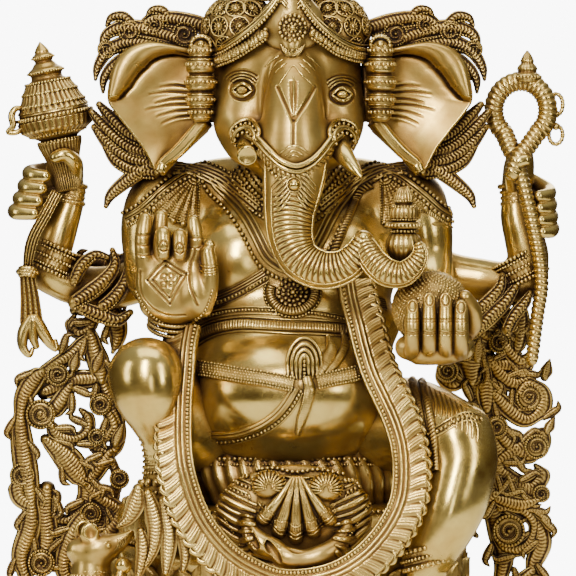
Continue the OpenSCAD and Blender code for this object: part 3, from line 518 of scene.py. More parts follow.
steel = bpy.data.materials.new("plain_steel")
steel.use_nodes = True
steel.node_tree.nodes["Principled BSDF"].inputs["Metallic"].default_value = 1.0
steel.node_tree.nodes["Principled BSDF"].inputs["Base Color"].default_value = (0.42, 0.42, 0.43, 1)
_n = steel.node_tree.nodes.new("ShaderNodeTexNoise")
_n.inputs["Scale"].default_value = 300
_r = ramp(steel.node_tree, [(0.3, 0.28), (0.7, 0.45)], False)
steel.node_tree.links.new(_n.outputs[0], _r.inputs[0])
steel.node_tree.links.new(_r.outputs[0], steel.node_tree.nodes["Principled BSDF"].inputs["Roughness"])
for _name in ("figure_bolts", "pillar_bolts", "joint_dowels"):
    _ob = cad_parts[_name]
    _ob.data.materials.clear()
    _ob.data.materials.append(steel)


def polished(name, parts, *nodes, mat=None, placed=False):
    return build(name, parts, mat or POLISHED, nodes, placed)


def chased(name, parts, *nodes, mat=None, placed=False):
    return build(name, parts, mat or CHASED, nodes, placed)


# ================================================================ the body
torso = Clay((-138, -124, 206), (138, 72, 480), 1.5)
torso.ball((0, -24, 277), (93, 84, 61), 1)
torso.ball((0, -10, 236), (70, 66, 26), 16)
torso.ball((0, -8, 332), (88, 60, 40), 18)
torso.ball((0, 0, 384), (84, 57, 58), 20)
torso.ball((-44, -24, 384), (34, 34, 34), 18)
torso.ball((44, -24, 384), (34, 34, 34), 18)
torso.ball((0, 20, 384), (84, 38, 68), 18)
torso.ball((-92, 6, 424), (34, 30, 30), 22)
torso.ball((92, 6, 424), (34, 30, 30), 22)
torso.ball((0, -6, 446), (46, 40, 30), 16)
torso.limb([(-96, 8, 434, 22), (-52, 12, 444, 22), (0, 14, 446, 22), (52, 12, 444, 22), (96, 8, 434, 22)], 12)
TORSO = torso.mesh(3)
polished("torso_casting", [TORSO], "torso")

arm_r = Clay((-150, -92, 340), (-60, 44, 470), 1.2)
arm_r.limb([(-92, 6, 444, 18), (-106, 4, 432, 23), (-113, 2, 412, 22), (-115, -1, 388, 18.5),
        (-113, -14, 368, 17.5),
            (-104, -40, 360, 16.5), (-95, -62, 354, 14)], 1)
ARM_R = arm_r.mesh(3)
polished("front_right_arm_casting", [ARM_R], "front_right_arm")

arm_l = Clay((60, -92, 315), (158, 44, 470), 1.2)
arm_l.limb([(90, 6, 444, 18), (100, 4, 432, 23), (107, 0, 410, 22.5), (110.5, -2, 388, 19.5),
        (113, -16, 366, 18),
            (115, -42, 346, 16.5), (113, -62, 334, 14)], 1)
ARM_L = arm_l.mesh(3)
polished("front_left_arm_casting", [ARM_L], "front_left_arm")

# Legs: the raised right knee and the hanging left leg.
leg_r = Clay((-158, -128, 138), (-20, 30, 336), 1.3)
leg_r.limb([(-54, -14, 230, 36), (-84, -44, 258, 35), (-106, -68, 280, 32), (-115, -82, 292, 29)], 1)
leg_r.limb([(-115, -84, 290, 28), (-113, -86, 276, 27.5), (-107, -83, 258, 22), (-102, -78, 242, 18),
        (-102, -74, 222, 15),
            (-102, -70, 204, 17), (-102, -66, 178, 20)], 10)
leg_r.limb([(-102, -50, 166, 14), (-102, -66, 168, 17), (-103, -84, 161, 15), (-105, -98, 156, 10)], 8)
for _k, (_x, _r) in enumerate(((-91, 5.5), (-98, 5), (-104, 4.6), (-110, 4.4), (-115, 4.2))):
    leg_r.limb([(_x, -90, 157, _r), (_x - 1, -102 + 1.2 * _k, 154, _r),
            (_x - 1, -108 + 1.5 * _k, 152, _r * 0.8)], 2)
LEG_R = leg_r.mesh(3)
polished("right_leg_casting", [LEG_R], "right_leg")

leg_l = Clay((20, -140, 76), (182, 30, 300), 1.3)
leg_l.limb([(54, -14, 242, 38), (88, -42, 253, 37), (114, -66, 248, 34), (131, -80, 241, 29)], 1)
leg_l.limb([(137, -84, 242, 26), (139.5, -88, 224, 27.5), (134.5, -92, 200, 27.5), (128.5, -96, 180, 25.5),
        (118, -97, 156, 21.5),
            (111, -95, 140, 17.5), (110, -94, 124, 15), (110, -94, 114, 15)], 10)
leg_l.limb([(110, -94, 122, 15), (112, -94, 110, 14)], 4)
leg_l.limb([(113, -78, 108, 12), (112, -96, 109, 14), (110, -110, 106, 12.5), (109, -119, 102, 9)], 8)
for _k, _x in enumerate((98, 104, 110, 115, 120)):
    leg_l.limb([(_x, -108 - _k % 2, 104, 4.8), (_x, -119, 101, 4.6 - 0.2 * _k), (_x, -124 + _k, 100, 3.6)], 2)
LEG_L = leg_l.mesh(3)
polished("left_leg_casting", [LEG_L], "left_leg")

# ---------------------------------------------------------------- head
head = Clay((-72, -114, 434), (72, 48, 600), 0.85)
head.ball((-2, -22, 522), (60, 52, 60), 1)
head.ball((0, -34, 548), (52, 42, 34), 14)
head.ball((-37, -42, 496), (24, 26, 30), 14)
head.ball((36, -42, 496), (23, 26, 30), 14)
head.ball((-31, -48, 474), (17, 20, 16), 10)
head.ball((31, -48, 474), (17, 20, 16), 10)
head.ball((0, -36, 462), (30, 26, 22), 12)
head.limb([(3, -62, 552, 10), (3, -74, 530, 19), (3, -80, 505, 24), (2, -85, 482, 26), (1, -87, 456, 22)], 9)
head.limb([(-40, -62, 487, 9), (-27, -76, 480, 13), (-11, -84, 474, 17), (3, -87, 470, 20),
        (17, -84, 474, 17),
           (31, -76, 480, 13), (45, -61, 487, 9)], 8)
head.ball((-38.2, -61, 519.5), (8.5, 7, 7), 4)
head.ball((41.6, -59, 516), (8.5, 7, 7), 4)
HEAD = head.mesh(2)
for _rows in ([[-10, 521.5], [-4, 509], [2.6, 495.5]], [[20, 521.5], [12, 508], [3.2, 495.5]]):
    carve(HEAD, _rows, 1.25, 1.9)
carve(HEAD, [[2.6, 494], [2.5, 484], [2.4, 476]], 0.9, 1.4)
for _rows in ([[0.6, 526], [1.6, 510], [2.6, 498]], [[5.0, 526], [4.4, 510], [3.4, 498]]):
    carve(HEAD, _rows, 0.8, 1.0)
for _x0, _z0 in ((-38.2, 519.5), (41.6, 516)):
    for _rx, _rz, _dz in ((9.6, 7.4, 0.9), (5.2, 3.4, 1.3)):
        carve(HEAD, [[_x0 + _rx * math.cos(t), _z0 + _rz * math.sin(t)] for t in np.linspace(0, 2 * math.pi,
                17)], 1.1, 1.5 + _dz)
for _x0, _s in ((-38.2, -1), (41.6, 1)):
    for _k, _r in enumerate((8.6, 11.4, 14.2, 16.8)):
        _a = np.radians(np.linspace(160 - 9 * _k, 42 - 2 * _k, 9))
        carve(HEAD, [[_x0 + _s * _r * math.cos(t), (519.5 if _s < 0 else 516) + 1 + _r * 0.86 * math.sin(t)]
                for t in _a], 0.85, 1.5)
HEAD_SKIN = Skin(HEAD)


def eye(cx, cz, s):
    """Lids, pupil and the folds over an eye. s is -1 for the eye on the viewer's left."""
    parts = []
    p, n = HEAD_SKIN.lay([[cx, cz]])
    parts.append(studs(p, n, [[1, 0, 0.12 * s]], (4.4, 3.0, 2.4), FINE_BEAD))
    parts.append(studs(p + n * 2.0, n, [[1, 0, 0]], (1.5, 1.5, 0.9), FINE_BEAD))
    for sz in (1, -1):
        rows = [[cx - 8 * s, cz - 0.5, 0.4], [cx - 3.6 * s, cz + 4.2 * sz, 1],
                [cx + 1.4 * s, cz + 4.8 * sz, 1],
                [cx + 8 * s, cz + 0.4 * sz, 0.4]]
        parts.append(HEAD_SKIN.line(rows, 1.5, 0.5, 0.8))
    for k, rad in enumerate((10.0, 12.8, 15.5)):
        a = np.radians(np.linspace(160 - 9 * k, 42 - 2 * k, 9))
        rows = [[cx + s * rad * math.cos(t), cz + 1 + rad * 0.86 * math.sin(t), 0.4 + 0.6 * math.sin(t)]
                for t in a]
        parts.append(HEAD_SKIN.line(rows, 0.9, 0.0, 0.8))
    rows = [[cx - 6 * s, cz - 3, 0.4], [cx, cz - 6, 0.9], [cx + 6 * s, cz - 3.5, 0.4]]
    parts.append(HEAD_SKIN.line(rows, 0.7, 0.0, 0.8))
    return parts


face = eye(-38.2, 519.5, -1) + eye(41.6, 516, 1)
# The mark on the brow, the groove below it and the small arches over the trunk's root.
for _rows, _r in (
        ([[2.8, 530, 0.5], [3, 514, 1], [3, 499, 0.5]], 1.1),
        ([[-10, 522, 0.6], [-4, 531, 1], [2.6, 539, 0.8], [10, 531, 1], [20, 522, 0.6]], 0.8),
        ([[-8, 468.8, 0.6], [-3, 473.4, 1], [3, 475.2, 1], [9, 473.4, 1], [15, 469.2, 0.6]], 0.9),
        ([[-4, 467, 0.6], [3, 471.4, 1], [10.5, 467.4, 0.6]], 0.9),
        ([[-1, 465.8, 0.6], [3, 468, 1], [7, 466, 0.6]], 0.8)):
    face.append(HEAD_SKIN.line(_rows, _r, 0.0, 0.8))
for _x0, _z0, _x1, _z1 in ((-20, 538, -9, 547), (-16, 535, -6, 544), (-12, 533, -3, 541), (24, 538, 13, 547),
                           (20, 535, 10, 544), (16, 533, 7, 541)):
    face.append(HEAD_SKIN.line([[_x0, _z0, 0.4], [(_x0 + _x1) / 2, (_z0 + _z1) / 2 + 0.5, 1],
            [_x1, _z1, 0.5]], 1.1, 0, 0.9))
polished("head_casting", [HEAD] + face, "head", mat=WORKED)

# The worked band along the mouth, with a collar round each tusk.
mouth_rows = [[-33, 487], [-24, 481], [-15.7, 472.5], [-7.9, 464.6], [3.9, 459.6], [14.7, 463.5],
        [23.5, 471.5],
              [32.3, 482], [40, 487.5]]


def shifted(rows, dx, dz):
    return [[r[0] + dx, r[1] + dz] + list(r[2:]) for r in rows]


mouth = [HEAD_SKIN.line(mouth_rows, 2.3, 2.2, 0.9), HEAD_SKIN.line(shifted(mouth_rows, 0, -4.6), 2.0, 2.4,
        0.9),
         HEAD_SKIN.strip(shifted(mouth_rows[1:-1], 0, -9.5), 9, lambda s,
         u: 2.0 * (1 - u**2) + 1.0 * np.abs(np.cos(s * 0.75 + 1.6 * u)),
                         0.4, 14, 0.4),
         HEAD_SKIN.beads(shifted(mouth_rows[2:-2], 0, -15.5), 2.0, 1.0, 1.4)]
for _cx, _cz, _s in ((-34, 481, -1), (41, 481, 1)):
    for _k, _rr in enumerate((11.0, 8.0)):
        _a = np.radians(np.linspace(-20, 200, 12))
        mouth.append(HEAD_SKIN.line([[_cx + _rr * math.cos(t), _cz + 4 - 3.4 * _k + _rr * 0.8 * math.sin(t)]
                for t in _a],
                                    2.1, 2.4 + 0.8 * _k, 0.8))
        mouth.append(HEAD_SKIN.beads([[_cx + (_rr - 1) * math.cos(t),
                _cz + 1.2 - 3.4 * _k + (_rr - 1) * 0.8 * math.sin(t)] for t in _a],
                                     1.5, 1.1, 3.4))
    for _j in range(3):
        mouth.append(HEAD_SKIN.line([[_cx - _s * (1 + 3 * _j), _cz + 8 - 0.5 * _j, 1],
                [_cx - _s * (3 + 3 * _j), _cz + 13 - _j, 1],
                                     [_cx - _s * (1.5 + 2.4 * _j), _cz + 16 - 1.6 * _j, 0.4]], 1.5, 1.2, 0.8))
chased("mouth_band", mouth, "head")

stub = Clay((-50, -120, 446), (-18, -50, 492), 0.8)
stub.limb([(-33, -56, 484, 8.4), (-33.6, -78, 476, 8.6), (-34, -94, 468, 8.6)], 1)
stub.ball((-34, -111, 462), (17, 16, 17), 1.5, cut=True)
polished("broken_tusk_casting", [stub.mesh(1)], "broken_tusk")
polished("whole_tusk_casting", [rod([(33, -58, 486, 1.0), (37, -74, 477, 1.1), (43, -86, 468, 1.0),
        (49.5, -94, 459.5, 0.72),
                                     (54, -99, 454, 0.45), (57, -102, 450.5, 0.16)], 7.9, 1.0, 28)],
                                     "whole_tusk")

# ---------------------------------------------------------------- trunk
trunk_rows = [(3, -82, 480, 27, 20), (4, -88, 462, 26.5, 20), (2, -92, 441, 24, 19),
        (-0.4, -95, 420, 20.6, 17.5),
              (1, -98, 400, 18.6, 16), (9, -101, 384, 17, 15.4), (26, -104, 376, 16, 15),
              (43, -106, 379, 14, 13.6),
              (54, -107, 389, 12, 12), (59.5, -108, 402, 8, 9)]
tip_rows = [(58, -108, 404, 4, 6), (61, -111, 394, 9, 9), (67, -115, 383, 11, 10.5),
        (77, -118, 374.5, 11.5, 10.5),
            (89, -118, 372.5, 10.5, 10), (99, -117, 379, 8.6, 8.6), (104, -115.5, 388, 6.5, 7),
            (103, -114, 396, 4, 5)]


def ribs(period, deep, top=0.0):
    """Cross folds over the front of the trunk, arched near its top, with a smooth strip on the outer side."""
    def f(s, a):
        front = np.clip((np.sin(a) - 0.12) * 4.0, 0, 1) * np.clip((0.74 - np.cos(a)) * 7, 0,
                1) * np.clip((s - top) / 4, 0, 1)
        arch = 1.5 + 6.0 * np.clip(1 - (s - 30) / 60, 0, 1) if top else 1.5
        bend = s - arch * np.cos(a) ** 2
        return front * deep * (np.abs(np.cos(math.pi * bend / period)) ** 0.6 - 0.55)
    return f


_q, _s = walk(trunk_rows, 0.5)
_t = walk(tip_rows, 0.5)[0]
TRUNK = tube(_q, _q[:, 3], _q[:, 4], 72, relief=ribs(3.9, 1.7, 46.0))
TIP = tube(_t, _t[:, 3], _t[:, 4], 56, relief=ribs(3.4, 1.4))


def side_line(q, sign, r=0.9, lift=0.2, angle=0.42):
    t, side, depth = axes(q[:, :3], FRONT)
    p = q[:, :3] + side * (sign * (q[:, 3:4] + lift) * math.cos(angle)) + depth * ((q[:, 4:5] + lift)
            * math.sin(angle))
    return tube(p[::3], r, sides=8)


trunk_parts = [TRUNK, TIP] + [side_line(q, g) for q in (_q[40:], _t) for g in (-1, 1)] + [
    side_line(q, 1, 0.6, 0.0, 0.78) for q in (_q[90:], _t[8:])]
# The worked patch at the top of the folds, under the mouth's band.
polished("trunk_casting", trunk_parts, "trunk", mat=WORKED)
TRUNK_SKIN = Skin(TRUNK, TIP)
trim = [TRUNK_SKIN.beads([[3.2, 444], [3.3, 444.2], [3.4, 444]], 4.6, 1.0, 1.0, FINE_BEAD),
        TRUNK_SKIN.line([[3 + 5.6 * math.cos(t), 444 + 5.6 * math.sin(t)] for t in np.linspace(0, 6.3, 20)],
        0.8, 0.4, 0.8)]
for _k in range(7):
    for _g in (-1, 1):
        trim.append(TRUNK_SKIN.line([[3 + _g * 2.5, 456 - 3.3 * _k, 0.5],
                [3 + _g * (10 - 0.4 * _k), 452 - 4.0 * _k, 1],
                                     [3 + _g * (18 - 0.8 * _k), 443 - 3.4 * _k, 0.4]], 1.15, 0.3, 0.9))
chased("trunk_trim", trim, "trunk")

# ---------------------------------------------------------------- ears
def ear(side):
    """A broad fan from the head with its top and outer edge folded forward. side -1 is the viewer's left."""
    outline = np.array([(66, 546), (80, 552), (96, 556), (113, 558), (129, 553), (139, 543), (144, 528),
            (145.5, 512),
                        (140, 502), (129, 488), (117, 472), (106.6, 453), (101, 461), (90, 469), (80, 480),
                        (68, 494)], float)
    root = np.array([(60, 545), (60, 540), (60, 536), (60, 532), (60, 528), (60, 524), (60, 520), (60, 516),
            (60, 512),
                     (60, 509), (60, 506), (60, 503), (60, 500), (60, 498), (60, 496), (60, 494)], float)
    m, n = 250, 130
    out, rt = spline(outline, m), spline(root, m)
    v = np.linspace(0, 1, m)[None]
    u = (np.linspace(0, 1, n) ** 0.85)[:, None]
    x = rt[:, 0][None] + (out[:, 0] - rt[:, 0])[None] * u
    z = rt[:, 1][None] + (out[:, 1] - rt[:, 1])[None] * u
    edge = np.linalg.norm(out - rt, axis=1)[None] * (1 - u)
    fold = np.clip((0.475 - v) / 0.02, 0, 1)
    roll = np.interp(v, (0, 0.1, 0.22, 0.33, 0.42, 0.475), (14, 21, 23, 24, 17, 7))
    e = edge / roll
    y = -33 + 7 * np.sin(math.pi * np.clip(u, 0, 1) ** 0.8) - 4 * u**2
    lip = fold * np.where(e < 1, np.sqrt(np.clip(1 - (2 * e - 1) ** 2, 0, 1)), 0) * (6.5 + 0.14 * roll)
    groove = fold * 4.6 * np.exp(-np.clip(e - 1, 0, 9) * roll / 3.2) * (e >= 1)
    lines = np.zeros_like(y + x)
    for k, (x1, z1) in enumerate(((104, 522), (113, 516), (108, 509), (116, 503.5), (107, 498),
            (103, 492.5))):
        p0, p1 = np.array([80, 522 - 4.6 * k]), np.array([x1, z1])
        d = p1 - p0
        t = np.clip(((x - p0[0]) * d[0] + (z - p0[1]) * d[1]) / (d @ d), 0, 1)
        dist = np.hypot(x - p0[0] - d[0] * t, z - p0[1] - d[1] * t - 1.6 * np.sin(math.pi * t))
        lines += (1 - t) ** 0.5 * (1.3 * np.exp(-((dist / 0.8) ** 2)) - 0.5
                * np.exp(-(((dist - 1.9) / 1.1) ** 2)))
    y = y - lip + groove + lines + 0.8 * np.sin(z / 8.0 + x / 17.0) * np.clip(u * 2, 0,
            1) * np.clip(edge / 20, 0, 1)
    y = y + 2.0 * np.clip(1 - edge / 1.6, 0, 1) ** 2
    g = np.stack([side * x, y, z + 0 * y], -1)
    return slab(g, 4.5)


EAR_R, EAR_L = ear(-1), ear(1)
for _name, _ear, _s in (("right_ear", EAR_R, -1), ("left_ear", EAR_L, 1)):
    _hem = rod([(_s * x, y, z, r) for x, y, z, r in ((106.5, -34, 454, 0.35), (101, -36, 461.5, 0.9),
            (90.5, -38, 470, 1.1),
                                                    (80.5, -40, 480.5, 1.15), (70, -42, 494, 1.1))],
               4.6, 1.0, 20, relief=lambda s, a: -1.3 * np.exp(-((np.cos(a) + 0.15) / 0.25) ** 2)
               * (np.sin(a) > 0))
    polished(_name + "_casting", [_ear, _hem], _name, mat=WORKED)


def pendant(x):
    """Stacked beaded discs hanging at the side of the face."""
    parts = [lathe([[0.1, 494], [5, 494.5], [8, 497], [9.5, 502], [8, 505], [10.5, 508], [11.6, 512],
            [10, 516.5],
                    [8.5, 518], [11.5, 521], [12.4, 526], [11, 530], [9, 532], [11.6, 535], [12, 540],
                    [10.5, 544],
                    [8.5, 546], [10, 549], [9.4, 555], [6, 560], [0.1, 562]], (x, -50, 0), 48, 0.8)]
    for z, r in ((502, 9.6), (512, 11.4), (526, 12.2), (540, 11.9), (551, 10)):
        parts.append(hoop((x, -50, z), (0, 0, 1), r, r, 1.6, bead=1.7))
        parts.append(hoop((x, -50, z + 4), (0, 0, 1), r - 0.9, r - 0.9, 0.7))
        parts.append(hoop((x, -50, z - 4), (0, 0, 1), r - 0.9, r - 0.9, 0.7))
    parts.append(hoop((x, -56, 556), (0, 1, 0.2), 6.5, 7.5, 1.6, relief=lambda s, a: 0.35 * np.cos(s * 2.4)))
    parts.append(beads([(x, -58, 556)], 3.2, FINE_BEAD))
    return parts


chased("right_ear_pendant_casting", pendant(-71), "right_ear_pendant")
chased("left_ear_pendant_casting", pendant(72), "left_ear_pendant")


# ================================================================ the seat
def block_ring(inset, z, r=18):
    """A rounded rectangle, inset from the plinth's outline."""
    w, d = 230 - inset, 132 - inset
    corner = np.array([(w - r, d - r), (r - w, d - r), (r - w, r - d), (w - r, r - d)], float)
    out = []
    for k in range(4):
        a = np.radians(np.linspace(90 * k, 90 * k + 90, 13))
        arc = corner[k] + r * np.stack([np.cos(a), np.sin(a)], 1)
        nxt = corner[(k + 1) % 4] + r * np.array([math.cos(a[-1]), math.sin(a[-1])])
        n = 90 if k % 2 == 0 else 50
        out += [arc, arc[-1] + (nxt - arc[-1]) * np.linspace(0, 1, n + 2)[1:-1, None]]
    p = np.concatenate(out)
    return np.c_[p, np.full(len(p), float(z))]


def oval_ring(rx, ry, z, seg=306, swell=0.0, petals=24):
    a = np.linspace(0, 2 * math.pi, seg, endpoint=False)
    k = 1 + swell * np.abs(np.cos(petals * a / 2))
    return np.stack([rx * k * np.cos(a), ry * k * np.sin(a), np.full(seg, float(z))], -1)


def shell(ring_list):
    """A ring-shaped solid: the last ring joins the first."""
    g = np.array(list(ring_list) + [ring_list[0]])
    n, m = g.shape[:2]
    v = g[:-1].reshape(-1, 3)
    return outward(v, grid_faces(n, m, True) % ((n - 1) * m))


def petal(base, out, width, height, belly=0.3, lean=0.2, curl=0.0, thick=2.2, n=15, m=13):
    """A pointed petal with a raised rim and a vein. height below zero hangs down."""
    out = np.asarray(out, float) / np.linalg.norm(out)
    side = np.cross((0, 0, 1.0), out)
    v, u = np.linspace(0, 1, n)[:, None], np.linspace(-1, 1, m)[None]
    w = width / 2 * (0.86 + 0.3 * np.sin(math.pi * v)) * np.clip(1 - v**3.2, 0.0, 1) ** 0.8
    o = belly * abs(height) * np.sin(math.pi * v**0.8) + lean * abs(height) * v + curl * v**6
    o = o - 0.16 * width * u**2 + 0.9 * np.exp(-((np.abs(u) - 0.86) / 0.1) ** 2) * (v < 0.93)
    o = o + 0.8 * np.exp(-(u / 0.08) ** 2) * np.sin(math.pi * v) + 0.35 * np.cos(u
            * 24) * (np.abs(u) < 0.75) * (v > 0.1)
    z = height * v + 0 * u
    g = np.asarray(base, float) + side * (w * u)[..., None] + out * o[...,
            None] + np.array([0, 0, 1.0]) * z[..., None]
    inner = g - out * thick
    nn, mm = g.shape[:2]
    vv = np.concatenate([g.reshape(-1, 3), inner.reshape(-1, 3)])
    f = grid_faces(nn, mm, False)
    rim = np.r_[np.arange(mm), np.arange(2 * mm - 1, nn * mm, mm),
            np.arange(nn * mm - 2, (nn - 1) * mm - 1, -1),
                np.arange((nn - 2) * mm, 0, -mm)]
    nxt = np.roll(rim, -1)
    return outward(vv, np.concatenate([f, f[:, ::-1] + nn * mm,
            np.stack([rim, rim + nn * mm, nxt + nn * mm, nxt], -1)]))


def petals_round(rx, ry, z, n, width, height, start=0.5, **kw):
    parts = []
    for k in range(n):
        a = 2 * math.pi * (k + start) / n
        parts.append(petal((rx * math.cos(a), ry * math.sin(a), z), (math.cos(a) / rx, math.sin(a) / ry, 0),
                width, height, **kw))
    return parts


def along(path, step):
    """Even steps round a closed ring of points."""
    p = np.r_[path, path[:1]]
    s = np.r_[0, np.cumsum(np.linalg.norm(np.diff(p, axis=0), axis=1))]
    n = int(round(s[-1] / step))
    t = np.linspace(0, s[-1], n, endpoint=False)
    q = np.stack([np.interp(t, s, p[:, k]) for k in range(3)], 1)
    q2 = np.stack([np.interp((t + 1) % s[-1], s, p[:, k]) for k in range(3)], 1)
    return q, unit(q2 - q)


plinth_profile = [(104, 60), (6, 60), (3.6, 59.2), (3, 57), (3, 50), (4.5, 47.5), (8, 46), (8, 42),
        (11, 40.5), (13.6, 38), (14, 34),
           (14, 27), (12, 24.5), (8, 23), (7, 21.5), (7, 18.5), (4, 17.5), (1, 16.4), (0, 14), (0, 3),
           (1.2, 0.6), (3.2, 0),
           (17, 0), (20, 1.5), (20, 54), (60, 54)]
_rings = []
for _k in range(len(plinth_profile)):
    (_a0, _z0), (_a1, _z1) = plinth_profile[_k], plinth_profile[(_k + 1) % len(plinth_profile)]
    if _a0 > 50:
        _g = block_ring(0, _z0)
        _a = np.arctan2(_g[:, 1] / 132, _g[:, 0] / 230)
        _rings.append(np.stack([122 * np.cos(_a), 70 * np.sin(_a), _g[:, 2]], 1))
    else:
        _rings.append(block_ring(_a0, _z0, max(4.0, 18 - 0.45 * _a0)))
_base = [shell(_rings)]
_q, _t = along(block_ring(2.6, 53.5), 5.4)
_base.append(beads(_q, 2.1))
_q, _t = along(block_ring(13.2, 31), 13.0)
_n = np.cross(_t, (0, 0, 1.0))
_base.append(studs(_q, _n, np.tile((0, 0, 1.0), (len(_q), 1)), (7.0, 5.0, 2.4), FINE_BEAD))
_base.append(studs(_q + _n * 1.6, _n, np.tile((0, 0, 1.0), (len(_q), 1)), (3.6, 2.0, 1.7)))
_q, _t = along(block_ring(13.0, 31), 13.0)
_base.append(beads(_q + _t * 6.5 + np.cross(_t, (0, 0, 1.0)) * 0.6, 1.6))
_q, _t = along(block_ring(0.4, 9), 9.0)
_base.append(studs(_q, np.cross(_t, (0, 0, 1.0)), _t, (3.9, 4.6, 1.3)))
polished("base_plinth_casting", _base, "base_plinth", placed=True)

_low = [shell([oval_ring(122, 70, 60), oval_ring(164, 104, 60), oval_ring(165, 105, 64),
        oval_ring(158, 101, 72),
               oval_ring(146, 94, 90), oval_ring(136, 88, 104), oval_ring(136, 88, 110),
               oval_ring(122, 70, 110)])]
_low += petals_round(142, 92, 98, 24, 36, -33, belly=0.14, lean=0.62, curl=3, start=0.5)
_low += petals_round(140, 90, 101, 24, 30, -22, belly=0.2, lean=0.5, curl=2, start=0.0)
_q, _t = along(oval_ring(138.5, 90.5, 106), 5.2)
_low.append(beads(_q, 2.3))
_q, _t = along(oval_ring(165, 105, 62.4), 5.2)
_low.append(beads(_q, 2.0))
chased("lotus_base_casting", _low, "lotus_base", placed=True)

throne_parts = [shell([oval_ring(122, 70, 110), oval_ring(133, 81, 110), oval_ring(134, 82, 116),
        oval_ring(135, 84, 130),
              oval_ring(139, 90, 148), oval_ring(140, 91, 158), oval_ring(122, 70, 158)])]
throne_parts += petals_round(134, 83, 113, 24, 36, 34, belly=0.16, lean=0.26, curl=2.5, start=0.5)
throne_parts += petals_round(134, 83, 119, 24, 32, 36, belly=0.12, lean=0.16, curl=2.0, start=0.0)
_q, _t = along(oval_ring(136, 84, 112.5), 5.0)
throne_parts.append(beads(_q, 2.2))
chased("lotus_throne_casting", throne_parts, "lotus_throne", placed=True)

_a = np.linspace(0, 2 * math.pi, 306, endpoint=False)
_stack = []
for _z, _r, _d in ((158, 130, 78), (160, 133, 80.5), (164, 136, 83), (170, 137.6, 84), (176, 138, 84.4),
        (182, 137.6, 84),
                   (187, 136, 83), (191, 133, 80.5), (193.4, 129, 77.5), (194, 122, 72)):
    _g = oval_ring(_r, _d, _z)
    _g[:, :2] *= (1 + 0.007 * np.abs(np.cos(40 * _a)) * math.sin(math.pi * (_z - 156) / 40))[:, None]
    _stack.append(_g)
cushion_parts = [shell([oval_ring(122, 70, 158)] + _stack + [oval_ring(56, 40, 194), oval_ring(56, 40, 184),
        oval_ring(122, 70, 184)])]
for _z, _r, _d in ((161, 134, 81.5), (191, 133.4, 81)):
    _q, _t = along(oval_ring(_r, _d, _z), 4.6)
    cushion_parts.append(beads(_q, 2.0))
chased("seat_cushion_casting", cushion_parts, "seat_cushion", placed=True)

foot_lotus_parts = [lathe([[0.1, 60], [26, 60], [28, 62], [28, 67], [24, 72], [18, 80], [16.5, 85], [18, 91],
        [23, 99], [26, 104],
              [26.5, 108], [24, 110], [0.1, 110]], (107, -98, 0), 72, 1.0)]
foot_lotus_parts += [(p[0] + np.array([107, -98, 0]), p[1]) for p in
        petals_round(17, 17, 86, 12, 11, 18, belly=0.16, lean=0.42, curl=2, start=0.0)
        + petals_round(17, 17, 84, 12, 11, -18, belly=0.14, lean=0.5, curl=2, start=0.5)]
for _z, _r in ((85, 18.2), (107, 26.6), (64, 28)):
    foot_lotus_parts.append(hoop((107, -98, _z), (0, 0, 1), _r, _r, 1.6, bead=1.7))
chased("foot_lotus_casting", foot_lotus_parts, "foot_lotus", placed=True)

# ================================================================ cloth, belt and garland
_stack = []
_a = np.linspace(0, 2 * math.pi, 360, endpoint=False)
for _z, _rx, depth_in_front, depth_behind in spline([(178, 90, 70, 58), (194, 93, 73, 61), (200, 95, 75, 62),
        (210, 97, 76, 63), (220, 95, 73.5, 63), (230, 91, 68, 62),
                                 (236, 86, 60, 58), (237, 70, 46, 46)], 26):
    _fold = 1 + 0.016 * np.cos(46 * _a + 0.16 * (_z - 200)) * min(1, (237 - _z) / 14)
    _s = np.sin(_a)
    _stack.append(np.stack([_rx * _fold * np.cos(_a), np.where(_s > 0, depth_behind, depth_in_front) * _fold
            * _s, np.full(360, _z)], -1))
CLOTH = rings(np.array(_stack))
BODY = Skin(TORSO, CLOTH)
_cl = [CLOTH]
for _z, _x, _f, _b, _r in ((224, 93.4, 71.6, 63, 2.2), (229, 91.2, 68.6, 62.4, 1.6),
        (219.5, 95, 73.4, 63.4, 1.3)):
    _p = np.stack([_x * np.cos(_a), np.where(np.sin(_a) > 0, _b, _f) * np.sin(_a), np.full(360, float(_z))],
            -1)
    _q, _t = along(_p, 2.05 * _r)
    _cl.append(beads(_q, _r))
chased("waist_cloth_casting", _cl, "waist_cloth")


def rope_relief(pitch=3.0, swell=1.6, cut=0.5):
    return lambda s, u: swell * np.sqrt(np.clip(1 - u**2, 0, 1)) + cut * np.cos(2 * math.pi
            * (s / pitch + 0.5 * u))


def ribbed_relief(pitch=2.4, swell=1.2, cut=0.5):
    return lambda s, u: swell * np.sqrt(np.clip(1 - 0.9 * u**2, 0,
            1)) + cut * np.abs(np.cos(math.pi * s / pitch)) * (
        np.abs(u) < 0.82)


def offset(rows, d):
    """Shifts a drawn [x, z] path sideways by d."""
    q, s = walk(rows, 3.0, 2)
    t = unit(np.gradient(q[:, :2], axis=0))
    return np.c_[q[:, :2] + np.stack([-t[:, 1], t[:, 0]], 1) * d, q[:, 2:]]


def grains(skin, rows, width, r, lift=0.4):
    """A band of close grains laid along a path."""
    parts = []
    n = max(2, int(round(width / (1.9 * r))))
    for k in range(n):
        d = (k - (n - 1) / 2) * 1.9 * r
        parts.append(skin.beads(offset(rows, d), r * (1 + 0.1 * (k % 2)), 1.0 + 0.06 * (k % 3),
                lift - 0.25 * r * abs(2 * k / (n - 1) - 1)))
    return parts


